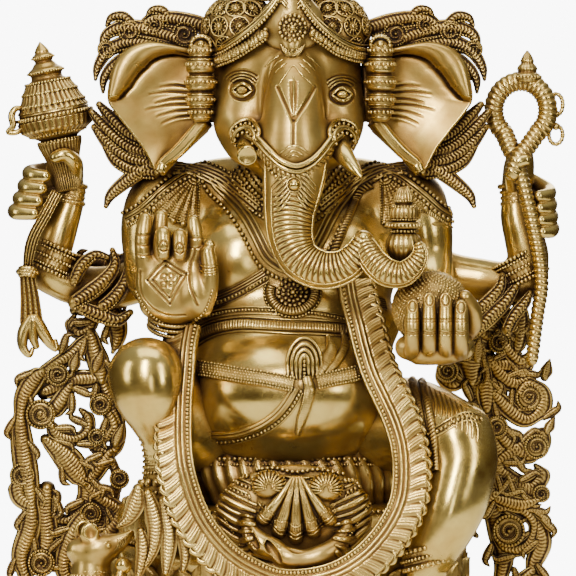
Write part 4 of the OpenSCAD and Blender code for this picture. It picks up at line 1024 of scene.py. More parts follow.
# The snake tied round the belly, with its knot and hanging tail.
belt = []
_left = [[-88, 300], [-72.5, 296.5], [-56, 294], [-39, 291], [-24, 289], [-10, 286.5], [2, 284]]
_right = [[22, 286], [36, 289], [50, 292], [62, 296]]
for _rows in (_left, _right):
    belt.append(BODY.strip(_rows, 13, lambda s, u: 3.4 * np.sqrt(np.clip(1 - u**2, 0, 1)), 0.2, 14, 2.0, 1.5))
    belt += grains(BODY, _rows, 12, 1.05, 3.2)
KNOT = Clay((-12, -124, 268), (40, -84, 332), 0.9)
KNOT.ball((11, -99, 302), (14, 8, 20), 1)
KNOT.ball((10, -102, 283), (9, 6, 9), 3)
_knot = KNOT.mesh(2)
belt.append(_knot)
_ks = Skin(_knot, TORSO)
for _k, (_w, _h) in enumerate(((13, 21), (9.6, 16.5), (6.4, 12), (3.2, 8))):
    _rows = [[11.5 - _w, 289, 0.6]] + [[11.5 - _w * math.cos(t), 300 + _h * math.sin(t)] + [1.0] for t in
                                      np.radians(np.linspace(0, 180, 9))] + [[11.5 + _w, 289, 0.6]]
    belt.append(_ks.line(_rows, 1.9, 0.6, 0.9))
belt.append(_ks.beads([[11.5, 290], [11.5, 306]], 1.5, 1.0, 1.0))
belt.append(_ks.strip([[30, 322, 0.4], [33, 312, 1], [27, 300, 1.1], [21, 290, 0.5]], 10,
        ribbed_relief(2.2, 2.4, 0.7), 0.3, 12, 0.8))
belt.append(_ks.strip([[40, 330, 0.4], [44, 316, 0.8], [37, 302, 0.9], [28, 291, 0.5]], 8,
        ribbed_relief(2.2, 2.0, 0.7), 0.3, 12, 0.8))
belt.append(_ks.strip([[13, 290, 0.8], [15.5, 280, 1.0], [13, 268, 0.92], [9, 256, 0.8], [6, 245, 0.45]], 9.5,
                      ribbed_relief(1.7, 3.0, 0.35), 0.4, 12, 0.7, 1.5))
belt.append(_ks.line([[19, 282, 0.6], [17, 268, 1], [12, 254, 1], [7.6, 243, 0.6]], 1.0, 0.3, 1.0))
_tail = [[4, 281], [-3, 269], [-12, 259], [-24, 251], [-38, 245.8], [-52, 243.4], [-64, 244]]
belt.append(BODY.strip(_tail, 7.5, lambda s, u: 2.4 * np.sqrt(np.clip(1 - u**2, 0, 1)) + 0.7
        * np.exp(-((u - 0.1) / 0.12) ** 2)
                       - 0.9 * np.exp(-((u + 0.35) / 0.12) ** 2), 0.2, 18, 1.2, 1.2))
belt.append(BODY.beads(offset(_tail, 5.2), 1.45, 1.15, 0.7))
belt.append(BODY.line(offset(_tail, 7.4), 0.8, 0.1, 1.2))
chased("snake_belt_casting", belt, "snake_belt")

# The band over the belly.
bb = []
_arc = [[-80, 317], [-70, 324.5], [-58, 329.5], [-40, 332.4], [-20, 331.6], [0, 330.4], [20, 329.8],
        [40, 328.4], [56, 325]]
bb.append(BODY.strip(_arc, 9, ribbed_relief(2.3, 2.2, 0.8), 0.3, 14, 0.6, 1.2))
for _d, _r in ((5.6, 0.9), (-5.6, 0.9)):
    bb.append(BODY.line(offset(_arc, _d), _r, 0.5, 1.4))
_arc2 = [[-80, 331], [-68.6, 337.5], [-54, 341.6], [-39, 343.4], [-20, 343.4], [0, 342.6], [20, 340.8],
        [39, 337.5], [56, 333]]
bb.append(BODY.beads(_arc2, 1.25, 1.05, 0.7))
bb.append(BODY.line(offset(_arc2, 2.6), 0.9, 0.4, 1.4))
bb.append(BODY.line(offset(_arc2, -2.8), 0.7, 0.4, 1.4))
chased("belly_band_casting", bb, "belly_band")

# Necklaces, cords and the pendant.
necklace_parts = []
_chain = [[-70, 446], [-65.7, 438], [-54, 426.6], [-46, 417], [-39, 406], [-34, 396], [-27.5, 383.5],
        [-20, 375.7], [-8, 369],
          [4, 368], [16, 374], [26, 384], [33, 396], [40, 410], [48, 424], [58, 438], [70, 450]]
necklace_parts.append(BODY.beads(_chain, 2.0, 1.02, 1.2))
for _d, _r in ((6.5, 1.5), (10.5, 1.3), (14.0, 1.0)):
    necklace_parts.append(BODY.line(offset(_chain, _d), _r, 0.9, 1.6))
_in = [[-50, 452], [-40, 436], [-28, 424], [-14, 416], [2, 413], [18, 416], [30, 425], [42, 438], [52, 452]]
for _k in range(6):
    necklace_parts.append(BODY.beads(offset(_in, 4.4 * _k - 2), 1.6 + 0.12 * (_k % 2), 1.03,
            0.8 + 0.4 * (_k % 2)))
_rope = [[66, 444], [55, 438], [49, 424], [43, 409], [37, 395], [33, 384]]
necklace_parts.append(BODY.strip(_rope, 6.5, rope_relief(3.0, 2.6, 0.6), 1.8, 14, 0.6, 1.5))
_band = [[-78, 344], [-62, 350], [-45, 357.5], [-32, 364.5], [-19.6, 372]]
necklace_parts.append(BODY.strip(_band, 11, lambda s, u: 1.8 - 0.6 * np.abs(np.cos(math.pi * u * 2.5)), 0.3,
        26, 1.2, 1.5))
necklace_parts.append(BODY.beads(offset(_band, -2.4), 1.5, 1.04, 2.0))
_band = [[30, 372], [44, 362], [58, 354], [76, 348]]
necklace_parts.append(BODY.strip(_band, 9, lambda s, u: 1.6 - 0.6 * np.abs(np.cos(math.pi * u * 2.5)), 0.3,
        22, 1.2, 1.5))
for _r, _b in ((3.5, 1.5), (7.2, 1.6), (11.0, 1.8)):
    _a = np.radians(np.linspace(0, 360, 25))
    necklace_parts.append(BODY.beads([[2 + _r * math.cos(t), 357 + _r * math.sin(t)] for t in _a], _b, 1.05,
            2.6))
necklace_parts.append(BODY.beads([[2, 357], [2.2, 357.2], [2.4, 357]], 2.2, 1.0, 2.8))
_a = np.radians(np.linspace(158, 382, 30))
necklace_parts.append(BODY.strip([[2 + 17.5 * math.cos(t), 358 + 15.8 * math.sin(t)] for t in _a], 8,
        ribbed_relief(2.3, 2.6, 0.9), 0.8, 14,
                     0.6, 1.5))
necklace_parts.append(BODY.beads([[2 + 22.4 * math.cos(t), 358 + 20.4 * math.sin(t)] for t in _a], 1.3, 1.05,
        0.8))
chased("necklace_casting", necklace_parts, "necklace", mat=AGED)

# Beadwork over the shoulders.
SHOULDERS = Skin(TORSO, ARM_R, ARM_L)
for _name, _side, _node in (("right_shoulder_beads", -1, "front_right_arm"),
        ("left_shoulder_beads", 1, "front_left_arm")):
    _sh = []
    _edge = [[_side * x, z] for x, z in ((74, 455), (86, 451), (98, 443), (110, 433), (120, 424), (130, 418))]
    _sh.append(SHOULDERS.strip(_edge, 12, lambda s, u: 1.6 - 0.8 * np.abs(np.cos(math.pi * 1.5 * u)), 0.3,
            26, 1.2, 1.5))
    for _d in (-4, 4):
        _sh.append(SHOULDERS.beads(offset(_edge, _d), 1.9, 1.03, 1.8))
    _sh.append(SHOULDERS.line(_edge, 1.0, 1.8, 1.4))
    for _k in range(16):
        _t = _k / 15
        _x, _z = 108 + 23 * _t, 430 - 13 * _t
        _sh.append(SHOULDERS.line([[_side * _x, _z, 1], [_side * (_x - 1.5), _z - 7, 0.7]], 1.2, 0.4, 1.0))
    for _k, (_x, _z) in enumerate(((108, 426), (101, 421), (93, 416.5), (85, 414), (77, 413))):
        _rows = [[_side * 76, 449, 0.4], [_side * (76 + (_x - 76) * 0.5), 449 - (449 - _z) * 0.45, 0.8],
                [_side * _x, _z, 1.1]]
        _sh.append(SHOULDERS.strip(_rows, 7, lambda s, u: 1.8 * np.sqrt(np.clip(1 - u**2, 0, 1)) + 0.5
                * np.abs(np.cos(s * 1.5)), 0.3, 12,
                                   0.7, 1.5))
        _sh.append(SHOULDERS.beads([r[:2] for r in _rows], 1.2, 1.1, 2.2))
        for _d in (-3.6, 3.6):
            _sh.append(SHOULDERS.beads([r[:2] for r in offset([r[:2] for r in _rows], _d).tolist()], 0.95,
                    1.1, 1.0))
        _sh.append(SHOULDERS.beads([[_side * _x, _z - 1], [_side * _x + 0.1, _z - 1.1],
                [_side * _x, _z - 1.2]], 2.6, 1.0, 1.2))
    chased(_name, _sh, _node, mat=AGED)


def sweep(rows, fronts, width, relief, across=22, step=0.9, base=3.0, taper=None):
    """A worked band hung in the air: rows of [x, y, z]; fronts gives its outward direction at each row."""
    p = np.c_[np.asarray(rows, float), np.asarray(fronts, float)]
    q, s = walk(p, step)
    w = np.full(len(q), float(width)) if taper is None else width * np.interp(s / s[-1], taper[0], taper[1])
    return band(q[:, :3], unit(q[:, 3:6]), w, relief, across, base), q, w


# The long garland: beads inside, two ridges, then curling leaves.
_g = [(52, -60, 368), (55, -70, 352), (60, -80, 334), (65, -87, 314), (71, -93, 295), (80, -99, 276),
        (89, -105, 256),
      (95, -110, 235), (97, -115, 213), (95, -118, 192), (88, -121, 174), (76, -123, 156), (60, -125, 140),
      (38, -126, 127),
      (12, -126, 121), (-12, -126, 122), (-34, -125, 131), (-52, -124, 143), (-67, -123, 159),
      (-78, -122, 176), (-86, -121, 196),
      (-91, -119, 215), (-93, -114, 234), (-93, -106, 254), (-92, -98, 274), (-90, -90, 294),
      (-88, -82, 314), (-85, -74, 330)]
_fr = [(0.35, -1, 0.2), (0.3, -1, 0.1), (0.3, -1, 0), (0.3, -1, 0), (0.35, -1, 0), (0.3, -1, 0),
        (0.25, -1, 0), (0.2, -1, 0)] + [
    (0, -1, 0)] * 13 + [(-0.1, -1, 0), (-0.2, -1, 0), (-0.3, -1, 0), (-0.4, -1, 0), (-0.5, -1, 0),
            (-0.6, -1, 0), (-0.6, -1, 0)]


def leaf_relief(s, u):
    """u runs from the inner edge at -1 to the leaf tips at +1."""
    u = -u
    ridge = 1.5 * np.exp(-((u - 0.50) / 0.09) ** 2) + 1.5 * np.exp(-((u - 0.24) / 0.09) ** 2)
    w = np.clip(0.1 - u, 0, 1.1)
    ph = (s + 8.5 * w - 3.5 * w**2) / 10.5
    frac = ph - np.floor(ph)
    curl = 1.9 * np.sin(math.pi * frac) ** 0.6 * (0.3 + w)
    hatch = 0.5 * np.abs(np.cos(math.pi * 4 * ph + 1.5 * w))
    edge = np.clip((u + 1.0) / 0.14, 0, 1)
    return np.where(u > 0.1, ridge + 0.4, curl + hatch * (w > 0.05)) * edge + 0.8


GAR, _q, _w = sweep(_g, _fr, 29, leaf_relief, 46, 0.7, 3.2)
_t = unit(np.gradient(_q[:, :3], axis=0))
_b = unit(np.cross(_q[:, 3:6], _t))
_i = np.arange(0, len(_q), 5)
garland_parts = [GAR, beads((_q[:, :3] - _b * 11.4 + unit(_q[:, 3:6]) * 1.2)[_i], 1.75)]
# Free leaf tips along the outer edge.
_i = np.arange(8, len(_q) - 8, 12)
for _k in _i:
    _p0, _tt, _bb, _nn = _q[_k, :3], _t[_k], _b[_k], unit(_q[_k, 3:6])
    _tip = [_p0 + _bb * 9 - _tt * 6, _p0 + _bb * 13.0 - _tt * 3, _p0 + _bb * 15.6 + _tt * 1.6,
            _p0 + _bb * 14.0 + _tt * 5.0]
    garland_parts.append(rod([(*(c + _nn * 0.4), w) for c, w in zip(_tip, (0.9, 1.1, 0.9, 0.3))], 2.3, 1.2,
            8))
chased("garland_casting", garland_parts, "garland")


# Ribbed cloth, hem and braid over the left thigh, and the bands under the right knee.
THIGH = Skin(LEG_L)
thigh_parts = []
for _k in range(13):
    _x, _z = 96 + 4.2 * _k, 288 - 1.6 * _k - 0.06 * _k**2
    thigh_parts.append(THIGH.line([[_x - 1, _z + 2, 0.6], [_x + 4, _z - 11, 1], [_x + 4, _z - 22, 0.7]], 1.3,
            0.1, 1.2))
_hem = [[100, 243], [115, 245], [128, 252], [141, 258], [153, 256]]
thigh_parts.append(THIGH.beads(_hem, 1.8, 1.05, 0.6))
thigh_parts.append(THIGH.line(offset(_hem, 3.6), 1.1, 0.4, 1.2))
thigh_parts.append(THIGH.line(offset(_hem, -3.0), 0.9, 0.4, 1.2))
chased("thigh_cloth", thigh_parts, "left_leg")
braid_parts = []
for _d in (0, 7.5):
    _rows = [[98 + _d, 288], [103 + _d, 268], [107 + _d, 248], [109 + _d, 232], [110 + _d, 214]]
    braid_parts.append(THIGH.strip(_rows, 6.5, lambda s, u: 2.2 * np.sqrt(np.clip(1 - u**2, 0, 1)) + 0.8
            * np.abs(np.cos(s * 1.1 + 1.5 * u)), 0.3, 12, 0.8, 1.5))
chased("thigh_braid", braid_parts, "left_leg", mat=AGED)
knee_parts = []
for _z, _r, _b in ((240, 19, 1.9), (235.5, 18, 1.6), (231, 17, 1.3), (226.5, 16.4, 1.3), (222, 16.2, 1.3),
        (217.5, 16.6, 1.3),
                   (213, 17, 1.5), (205, 18.5, 3.6), (197, 19.5, 1.6)):
    knee_parts.append(hoop((-102, -76 + 0.13 * (240 - _z), _z), (0, 0, 1), _r - 1.2, _r - 1.2, _b,
            bead=_b if _b > 1.4 else 0.0,
                    relief=None if _b > 1.4 else (lambda s, a: 0.3 * np.cos(s * 2.2))))
chased("knee_bands", knee_parts, "right_leg")

# The dark shawl over the shoulders beside the neck.
shawl_parts = []
for _s in (-1, 1):
    _rows = [[_s * 92, 457], [_s * 74, 455], [_s * 56, 448], [_s * 40, 437], [_s * 26, 424]]
    shawl_parts.append(SHOULDERS.strip(_rows, 15, lambda s, u: 1.4 + 0.9 * np.abs(np.cos(math.pi * 2.5 * u)),
            0.2, 30, 1.2, 1.5))
    shawl_parts.append(SHOULDERS.beads(offset(_rows, -8.5 * _s), 1.6, 1.05, 0.8))
chased("shawl", shawl_parts, "torso", mat=AGED)


def vine(rows, y, half, swell=3.0, pitch=3.2, rib=0.9, step=0.8, across=13, rim=0.9, grow=1.0, y1=None):
    """A flat-cast scroll: rows of [x, z, width], worked alike on its front and back."""
    q, s = walk([[r[0], y if y1 is None else y + (y1 - y) * k / (len(rows) - 1), r[1], r[2] * grow]
                 for k, r in enumerate(rows)], step)
    p = q[:, :3]
    n = np.array([0, -1.0, 0])
    t = unit(np.gradient(p, axis=0))
    b = unit(np.cross(n, t))
    u = np.linspace(-1, 1, across)
    h = swell * np.sqrt(np.clip(1 - u[None] ** 2, 0,
            1)) + 0.5 * rim * np.exp(-((np.abs(u[None]) - 0.84) / 0.12) ** 2)
    au = np.abs(u[None])
    h = h + rib * np.abs(np.cos(math.pi * (s[:, None] / pitch + 1.1 * au))) * np.clip((0.60 - au) * 9, 0, 1)
    h = h - 1.2 * rib * np.exp(-((au - 0.64) / 0.09) ** 2) + 0.9 * rib * np.exp(-((au - 0.84) / 0.12) ** 2)
    w = q[:, 3:4] / 2
    front = p[:, None] + b[:, None] * (u * w)[..., None] + n * (half + h)[..., None]
    back = p[:, None] + b[:, None] * (u[::-1] * w)[..., None] - n * (half + h[:, ::-1])[..., None]
    parts = [rings(np.concatenate([front, back], 1))]
    for e in (0, -1):
        r = q[e, 3] * 0.5
        parts.append((FINE_BEAD[0] * np.array([r, half + swell, r]) + p[e], FINE_BEAD[1]))
    return parts


# ================================================================ the lap cloth
lap = Clay((-80, -128, 126), (86, -84, 232), 0.9)
lap.ball((3, -92, 180), (62, 12, 40), 1)
lap.ball((5, -99, 186), (31, 12, 25), 3)
lap.ball((-17, -106, 203), (13, 7, 11), 2)
lap.ball((29, -106, 201), (13, 7, 11), 2)
lap.limb([(-34, -100, 176, 5), (-31, -108, 164, 7.5), (-22, -112, 155, 9.5), (-12, -112, 152, 8)], 2)
lap.limb([(-12, -110, 150, 8), (-2, -114, 144, 9.5), (12, -114, 142, 9.5), (26, -113, 146, 9.5),
        (38, -108, 154, 8), (46, -102, 168, 5)], 2)
lap.limb([(-36, -112, 176, 3), (-33, -118, 163, 4.5), (-27, -119, 154, 3)], 1, cut=True)
lap.limb([(-20, -117, 158, 2.4), (-14, -121, 150, 4.0), (-9, -121, 142, 2.6)], 1, cut=True)
lap.limb([(-6, -120, 158, 2), (4, -122, 151, 3), (14, -122, 153, 3), (26, -119, 160, 2)], 1, cut=True)
LAP = lap.mesh(2)
LAP_SKIN = Skin(LAP)
lap_parts = [LAP]
# Cloth folds that fall from the belt towards the middle on each side.
for _k in range(9):
    for _g, _m in ((-1, 3), (1, 3)):
        _a0, _z0 = 76 - 1.5 * _k, 212 - 7.0 * _k
        _a1, _z1 = 52 - 1.2 * _k, 200 - 7.4 * _k
        _a2, _z2 = 30 + 0.6 * _k, 187 - 5.4 * _k
        lap_parts.append(LAP_SKIN.line([[_m + _g * _a0, _z0, 0.7], [_m + _g * _a1, _z1 - 3, 1.1],
                [_m + _g * _a2, _z2, 0.8]],
                                  2.7 if _k % 2 else 1.7, 0.3, 1.0, sides=10))
# The fan of pleats with its patterned hem.
for _x, _z in ((-22, 175), (-9.5, 165), (4.5, 160), (19, 164.5), (32.5, 174)):
    lap_parts.append(LAP_SKIN.line([[5.5 + (_x - 5.5) * 0.12, 209, 0.28],
            [5.5 + (_x - 5.5) * 0.5, 207 - (207 - _z) * 0.45, 0.7],
                               [5.5 + (_x - 5.5) * 0.84, 207 - (207 - _z) * 0.84, 1.0], [_x, _z, 1.05]], 5.6,
                               0.4, 0.9, sides=16))
PLEATS = Skin(*lap_parts)
for _k, _z in enumerate((0.8, 4.0, 10.5)):
    _rows = [[-25.5, 178.5 + _z], [-21, 173 + _z], [-15, 170.5 + _z], [-9, 163 + _z], [-2.5, 163 + _z],
            [4.5, 158.5 + _z],
             [11.5, 162.5 + _z], [18.5, 162.5 + _z], [26, 169.5 + _z], [32, 172.5 + _z], [36.5, 178 + _z]]
    lap_parts.append(PLEATS.line(_rows, 0.75, 0.2, 0.8))
for _k in range(34):
    _t = _k / 33
    _x, _z = -25 + 61 * _t, 161 + 17.5 * abs(2 * _t - 1) ** 1.6 + 0.5
    lap_parts.append(PLEATS.line([[_x, _z + 3.6], [_x + (5.5 - _x) * 0.08, _z + 10]], 0.5, 0.15, 0.9))
for _g in (-1, 1):
    for _w in (0.2, 0.6):
        for _x, _z in ((-9.5, 165), (4.5, 160), (19, 164.5)):
            lap_parts.append(PLEATS.line([[5.5 + (_x + _g * 9 * _w - 5.5) * 0.2, 203, 0.5],
                                     [5.5 + (_x + _g * 4.5 * _w - 5.5) * 0.8, 207 - (207 - _z) * 0.72, 1]],
                                     0.45, 0.1, 0.9))
for _cx, _cz, _g in ((-17, 204.5, -1), (29, 202.5, 1)):
    for _t in np.radians(np.arange(-30, 215, 17)):
        lap_parts.append(LAP_SKIN.line([[_cx - _g * 2.5 * math.cos(_t), _cz - 3 + 3 * math.sin(_t), 0.5],
                                   [_cx - _g * 12.2 * math.cos(_t), _cz - 1 + 10.4 * math.sin(_t), 1.2]],
                                   1.05, 0.5, 0.9))
    for _r, _b in ((13.0, 1.0), (4.6, 1.3)):
        _a = np.radians(np.linspace(-30, 210, 22))
        lap_parts.append(LAP_SKIN.beads([[_cx + _r * math.cos(t), _cz - 2 + _r * 0.9 * math.sin(t)]
                for t in _a], _b, 1.05, 0.9))
for _rows, _r, _b in (
        ([[-78, 228], [-54, 218], [-30, 208]], 2.3, 1), ([[-76, 223], [-54, 213], [-30, 203.5]], 1.0, 0),
        ([[-76, 219], [-54, 209.5], [-32, 200]], 1.6, 1), ([[-74, 214], [-54, 205], [-34, 196]], 1.0, 0),
        ([[-70, 208], [-52, 199], [-34, 190]], 1.3, 1),
        ([[44, 206], [60, 214], [78, 224]], 2.3, 1), ([[44, 201], [60, 209], [78, 218]], 1.0, 0),
        ([[46, 197], [60, 204], [78, 213]], 1.6, 1), ([[46, 192], [60, 198], [76, 206]], 1.0, 0),
        ([[-64, 194], [-52, 176], [-40, 156]], 1.2, 1), ([[66, 192], [56, 176], [46, 160]], 1.2, 1),
        ([[-30, 214], [-12, 216], [4, 213], [22, 215], [42, 211]], 1.9, 1),
        ([[-10, 210.5], [5, 208], [20, 209]], 1.2, 0)):
    lap_parts.append(LAP_SKIN.beads(_rows, _r, 1.05, 1.2) if _b else LAP_SKIN.line(_rows, _r, 0.8, 1.2))
for _k in range(13):
    for _x0, _x1, _zz in ((-72, -32, 0), (78, 44, -1)):
        _t = (_k + 0.5) / 13
        _x, _z = _x0 + (_x1 - _x0) * _t, 216.5 - 19 * _t + _zz
        lap_parts.append(LAP_SKIN.line([[_x, _z - 1.2, 0.6], [_x + (1.5 if _x0 < 0 else -1.5), _z - 6, 1]],
                0.8, 0.4, 0.9))
for _rows in ([[-122, 200, 8], [-124, 188, 15], [-130, 176, 10], [-138, 170, 3]],
              [[-114, 196, 8], [-110, 182, 14], [-108, 168, 14], [-110, 152, 10], [-116, 138, 4]],
              [[-102, 190, 8], [-99, 178, 13], [-97, 164, 14], [-98, 148, 12], [-100, 132, 5]],
              [[-92, 184, 7], [-88, 172, 12], [-85, 160, 12], [-84, 146, 9], [-86, 134, 4]],
              [[-120, 166, 6], [-118, 154, 11], [-119, 142, 10], [-122, 130, 5]]):
    lap_parts += vine([[x, z, w * 1.15] for x, z, w in _rows], -110, 2.0, 5.5, 2.8, 0.9, 0.7, 15)
chased("front_pleats_casting", lap_parts, "front_pleats")

# ================================================================ crown, brow band and plumes
diadem_parts = []
for _cx, _s in ((-40, -1), (33.5, 1)):
    _v, _f = ball_shape(120, 70)
    _v = _v * np.array([29.5, 31, 29.5])
    DOME = (_v + np.array([_cx, -34, 566]), _f)
    diadem_parts.append(DOME)
    # Rosettes and scrolls all over the dome.
    for _e, _n, _o in ((8, 7, 0.0), (38, 6, 0.5), (-22, 7, 0.5), (66, 3, 0.2)):
        for _k in range(_n):
            _az = math.radians(-90 + (_k - (_n - 1) / 2) * (34 if _e < 60 else 80) + 17 * _o)
            _el = math.radians(_e)
            _d = np.array([math.cos(_el) * math.cos(_az), math.cos(_el) * math.sin(_az), math.sin(_el)])
            _c = np.array([_cx, -34, 566]) + _d * np.array([29.5, 31, 29.5])
            _u = unit(np.cross((0, 0, 1.0), _d))
            _w = np.cross(_d, _u)
            thigh_parts = np.radians(np.arange(0, 360, 30))[:, None]
            _dirs = _u * np.cos(thigh_parts) + _w * np.sin(thigh_parts)
            diadem_parts.append(studs(_c + _dirs * 4.9, np.tile(_d, (12, 1)), _dirs, (2.5, 1.0, 1.3)))
            diadem_parts.append(beads([_c + _d * 0.4], 2.0, FINE_BEAD))
            diadem_parts.append(beads(_c + _dirs * 2.6 + _d * 0.5, 0.7))
            diadem_parts.append(tube(np.r_[_c + _dirs * 7.9, (_c + _dirs * 7.9)[:1]], 0.75, sides=8, up=_d))
dd_bead = []
_band_l = [(-66, -40, 541), (-56, -58, 543.5), (-42, -72, 549.5), (-30, -80, 557), (-19.6, -85, 564)]
_band_r = [(17.6, -85, 565), (27, -80, 559), (38, -73, 551.5), (52, -60, 547), (63, -42, 545)]
_ridge_l = [(-64, -46, 549.5), (-54, -60, 553), (-40, -74, 562), (-25, -83, 574), (-12, -85, 589),
        (-4, -82, 604)]
_ridge_r = [(4, -82, 604), (9, -85, 590), (22, -84, 573), (38, -76, 560), (52, -62, 553), (63, -48, 551)]
for _lo, _hi in ((_band_l, _ridge_l[:4]), (_band_r, _ridge_r[2:])):
    diadem_parts.append(rod([(*p, 1) for p in _lo], 3.4, 0.8, 14, relief=lambda s, a: 0.5 * np.cos(s * 2.0)))
    _m = [tuple((np.array(a) + np.array(b)) / 2 + np.array([0, -2.5, -0.5])) for a,
            b in zip(_lo[1:], _hi[1:])]
    for _off, _r in (((0, -2.2, -0.6), 2.3), ((0, 1.0, 3.6), 1.7), ((0, -1.0, -4.2), 1.4)):
        dd_bead.append(bead_line([np.array(p) + np.array(_off) for p in _lo], _r, 1.02))
for _hi in (_ridge_l, _ridge_r):
    diadem_parts.append(rod([(*p, 1) for p in _hi], 1.9, 1.0, 12))
    diadem_parts.append(rod([(p[0], p[1] + 1, p[2] + 3.4, 1) for p in _hi], 1.0, 1.0, 10))
    dd_bead.append(bead_line([np.array(p) + np.array([0, -0.5, -3.2]) for p in _hi], 1.5, 1.03))
_plate = Clay((-40, -96, 532), (42, -60, 612), 1.0)
_plate.ball((1, -72, 572), (26, 14, 24), 1)
_plate.ball((1, -74, 592), (14, 12, 22), 6)
_plate.ball((2, -78, 556), (9, 9, 14), 4)
PLATE = _plate.mesh(2)
diadem_parts.append(PLATE)
_ps = Skin(PLATE)
for _r, _b in ((3.2, 1.4), (6.6, 1.5), (10.2, 1.7)):
    _a = np.radians(np.linspace(0, 360, 21))
    diadem_parts.append(_ps.beads([[2 + _r * math.cos(t), 569 + _r * math.sin(t)] for t in _a], _b, 1.04,
            1.0))
diadem_parts.append(_ps.beads([[2, 569], [2.1, 569.1], [2.2, 569]], 2.4, 1.0, 1.4))
for _k in range(5):
    _w = 9 - 1.9 * _k
    diadem_parts.append(_ps.line([[2 - _w, 556 - _k * 1.5, 0.5], [2 - _w * 0.6, 549 - _k * 0.4, 1],
            [2, 541 + 3.0 * _k, 0.8],
                        [2 + _w * 0.6, 549 - _k * 0.4, 1], [2 + _w, 556 - _k * 1.5, 0.5]], 1.0, 0.6, 1.0))
for _s in (-1, 1):
    for _k in range(3):
        diadem_parts.append(_ps.line([[2 + _s * 4, 584 + 4 * _k, 0.5], [2 + _s * (9 + _k), 590 + 4 * _k, 1],
                [2 + _s * 14, 586 + 5 * _k, 0.6]],
                           1.3, 0.5, 1.0))
chased("diadem_casting", diadem_parts + dd_bead, "diadem")

_c = (0, -16, 590)
crown_parts = [lathe([[0.1, 0], [34, 0], [35.5, 1.5], [35.5, 4], [32, 8], [31.5, 11], [34.5, 14],
        [35.5, 16.5], [34, 19.5], [29, 23],
             [28.4, 26], [31, 29], [32, 31.5], [30.5, 34.5], [26, 37], [25.5, 40], [27.6, 43], [28, 45],
             [26, 48], [22, 50],
             [21.6, 53], [23.4, 56], [23.6, 58], [21, 60.5], [17, 62], [16.8, 65], [18.4, 68], [18.6, 70],
             [15, 72.6], [11, 74],
             [11, 78], [0.1, 78]], _c, 168, 0.7, 42, 0.9, lambda z: int(z / 3.1) % 2 == 0)]
for _z, _r, _b in ((2.6, 36, 2.0), (16.4, 36, 2.2), (31.2, 32.4, 2.0), (44, 28.6, 1.9), (57, 24.2, 1.8),
        (69, 19.2, 1.7),
                   (9.6, 32.2, 1.4), (24.6, 29.2, 1.4), (38.6, 26.2, 1.3), (51.4, 22.2, 1.2),
                   (63.4, 17.4, 1.2)):
    crown_parts.append(hoop((0, -16, 590 + _z), (0, 0, 1), _r, _r, _b, bead=_b))
for _z0, _r, _n, _h in ((4, 33.5, 20, 11), (18.6, 31.4, 18, 11), (33, 28, 16, 9.5), (46, 24, 14, 8.5),
        (59, 19.5, 12, 8)):
    for _k in range(_n):
        _a = 2 * math.pi * (_k + 0.5) / _n
        crown_parts.append(petal((_r * math.cos(_a), -16 + _r * math.sin(_a), 590 + _z0),
                (math.cos(_a), math.sin(_a), 0),
                        2 * math.pi * _r / _n * 0.98, _h, belly=0.12, lean=0.02, curl=1.2, thick=1.6, n=9,
                        m=9))
chased("crown_casting", crown_parts, "crown")
cf = [lathe([[0.1, 0], [9, 0], [11, 2], [11, 5], [9.4, 8], [5.4, 10.5], [5.6, 13], [8.6, 16], [9.2, 19],
        [7.4, 22.5], [4.6, 25.5],
             [3.2, 28], [1.6, 30.6], [0.1, 32]], (0, -16, 668), 96, 0.5, 16, 0.8, lambda z: 12 < z < 26)]
for _z, _r, _b in ((3.5, 11.2, 1.5), (10.6, 6.2, 1.3)):
    cf.append(hoop((0, -16, 668 + _z), (0, 0, 1), _r, _r, _b, bead=_b))
chased("crown_finial_casting", cf, "crown_finial")


def disc(x, z, r, y, half):
    """A round boss of rings with a beaded rim, worked on both faces."""
    parts = []
    prof = [[0.1, -half - 3.5], [r * 0.25, -half - 3.2], [r * 0.34, -half - 1.0], [r * 0.5, -half - 2.8],
            [r * 0.66, -half - 1.0],
            [r * 0.84, -half - 2.6], [r, -half], [r, half], [r * 0.84, half + 2.6], [r * 0.66, half + 1.0],
            [r * 0.5, half + 2.8], [r * 0.34, half + 1.0], [r * 0.25, half + 3.2], [0.1, half + 3.5]]
    v, f = lathe(prof, (0, 0, 0), 48, 0.8)
    v = np.stack([v[:, 0], v[:, 2], -v[:, 1]], 1) + np.array([x, y, z])
    parts.append((v, f))
    for side in (-1, 1):
        parts.append(hoop((x, y + side * (half + 1), z), (0, 1, 0), r * 0.94, r * 0.94, 1, bead=1.15))
    return parts


def volute(x, z, r, y, half, s=1, start=0.0, turns=1.3):
    """A spiral scroll round a small boss with a beaded outer edge."""
    t = np.linspace(0, 1, 22)
    a = math.radians(start) + s * 2 * math.pi * turns * t
    rad = r * (0.84 - 0.56 * t)
    rows = [[x + q * math.cos(e), z + q * math.sin(e), r * (0.42 - 0.18 * k)] for q, e, k in zip(rad, a, t)]
    parts = vine(rows, y, half, 1.8, 1.9, 0.55, 0.7, 11, 0.6)
    parts.append((FINE_BEAD[0] * np.array([r * 0.24, half + 2.6, r * 0.24]) + np.array([x, y, z]),
            FINE_BEAD[1]))
    v, f = lathe([[0.1, 0.8 - half], [r * 0.97, 0.8 - half], [r * 0.97, half - 0.8], [0.1, half - 0.8]],
            (0, 0, 0), 36, 1.5)
    parts.append((np.stack([v[:, 0], v[:, 2], -v[:, 1]], 1) + np.array([x, y, z]), f))
    for side in (-1, 1):
        parts.append(hoop((x, y + side * (half + 0.8), z), (0, 1, 0), r, r, 1, bead=max(0.9, 0.11 * r)))
        parts.append(hoop((x, y + side * (half - 0.6), z), (0, 1, 0), r * 1.02, r * 1.02, 1.1, 1.0, 8))
    return parts


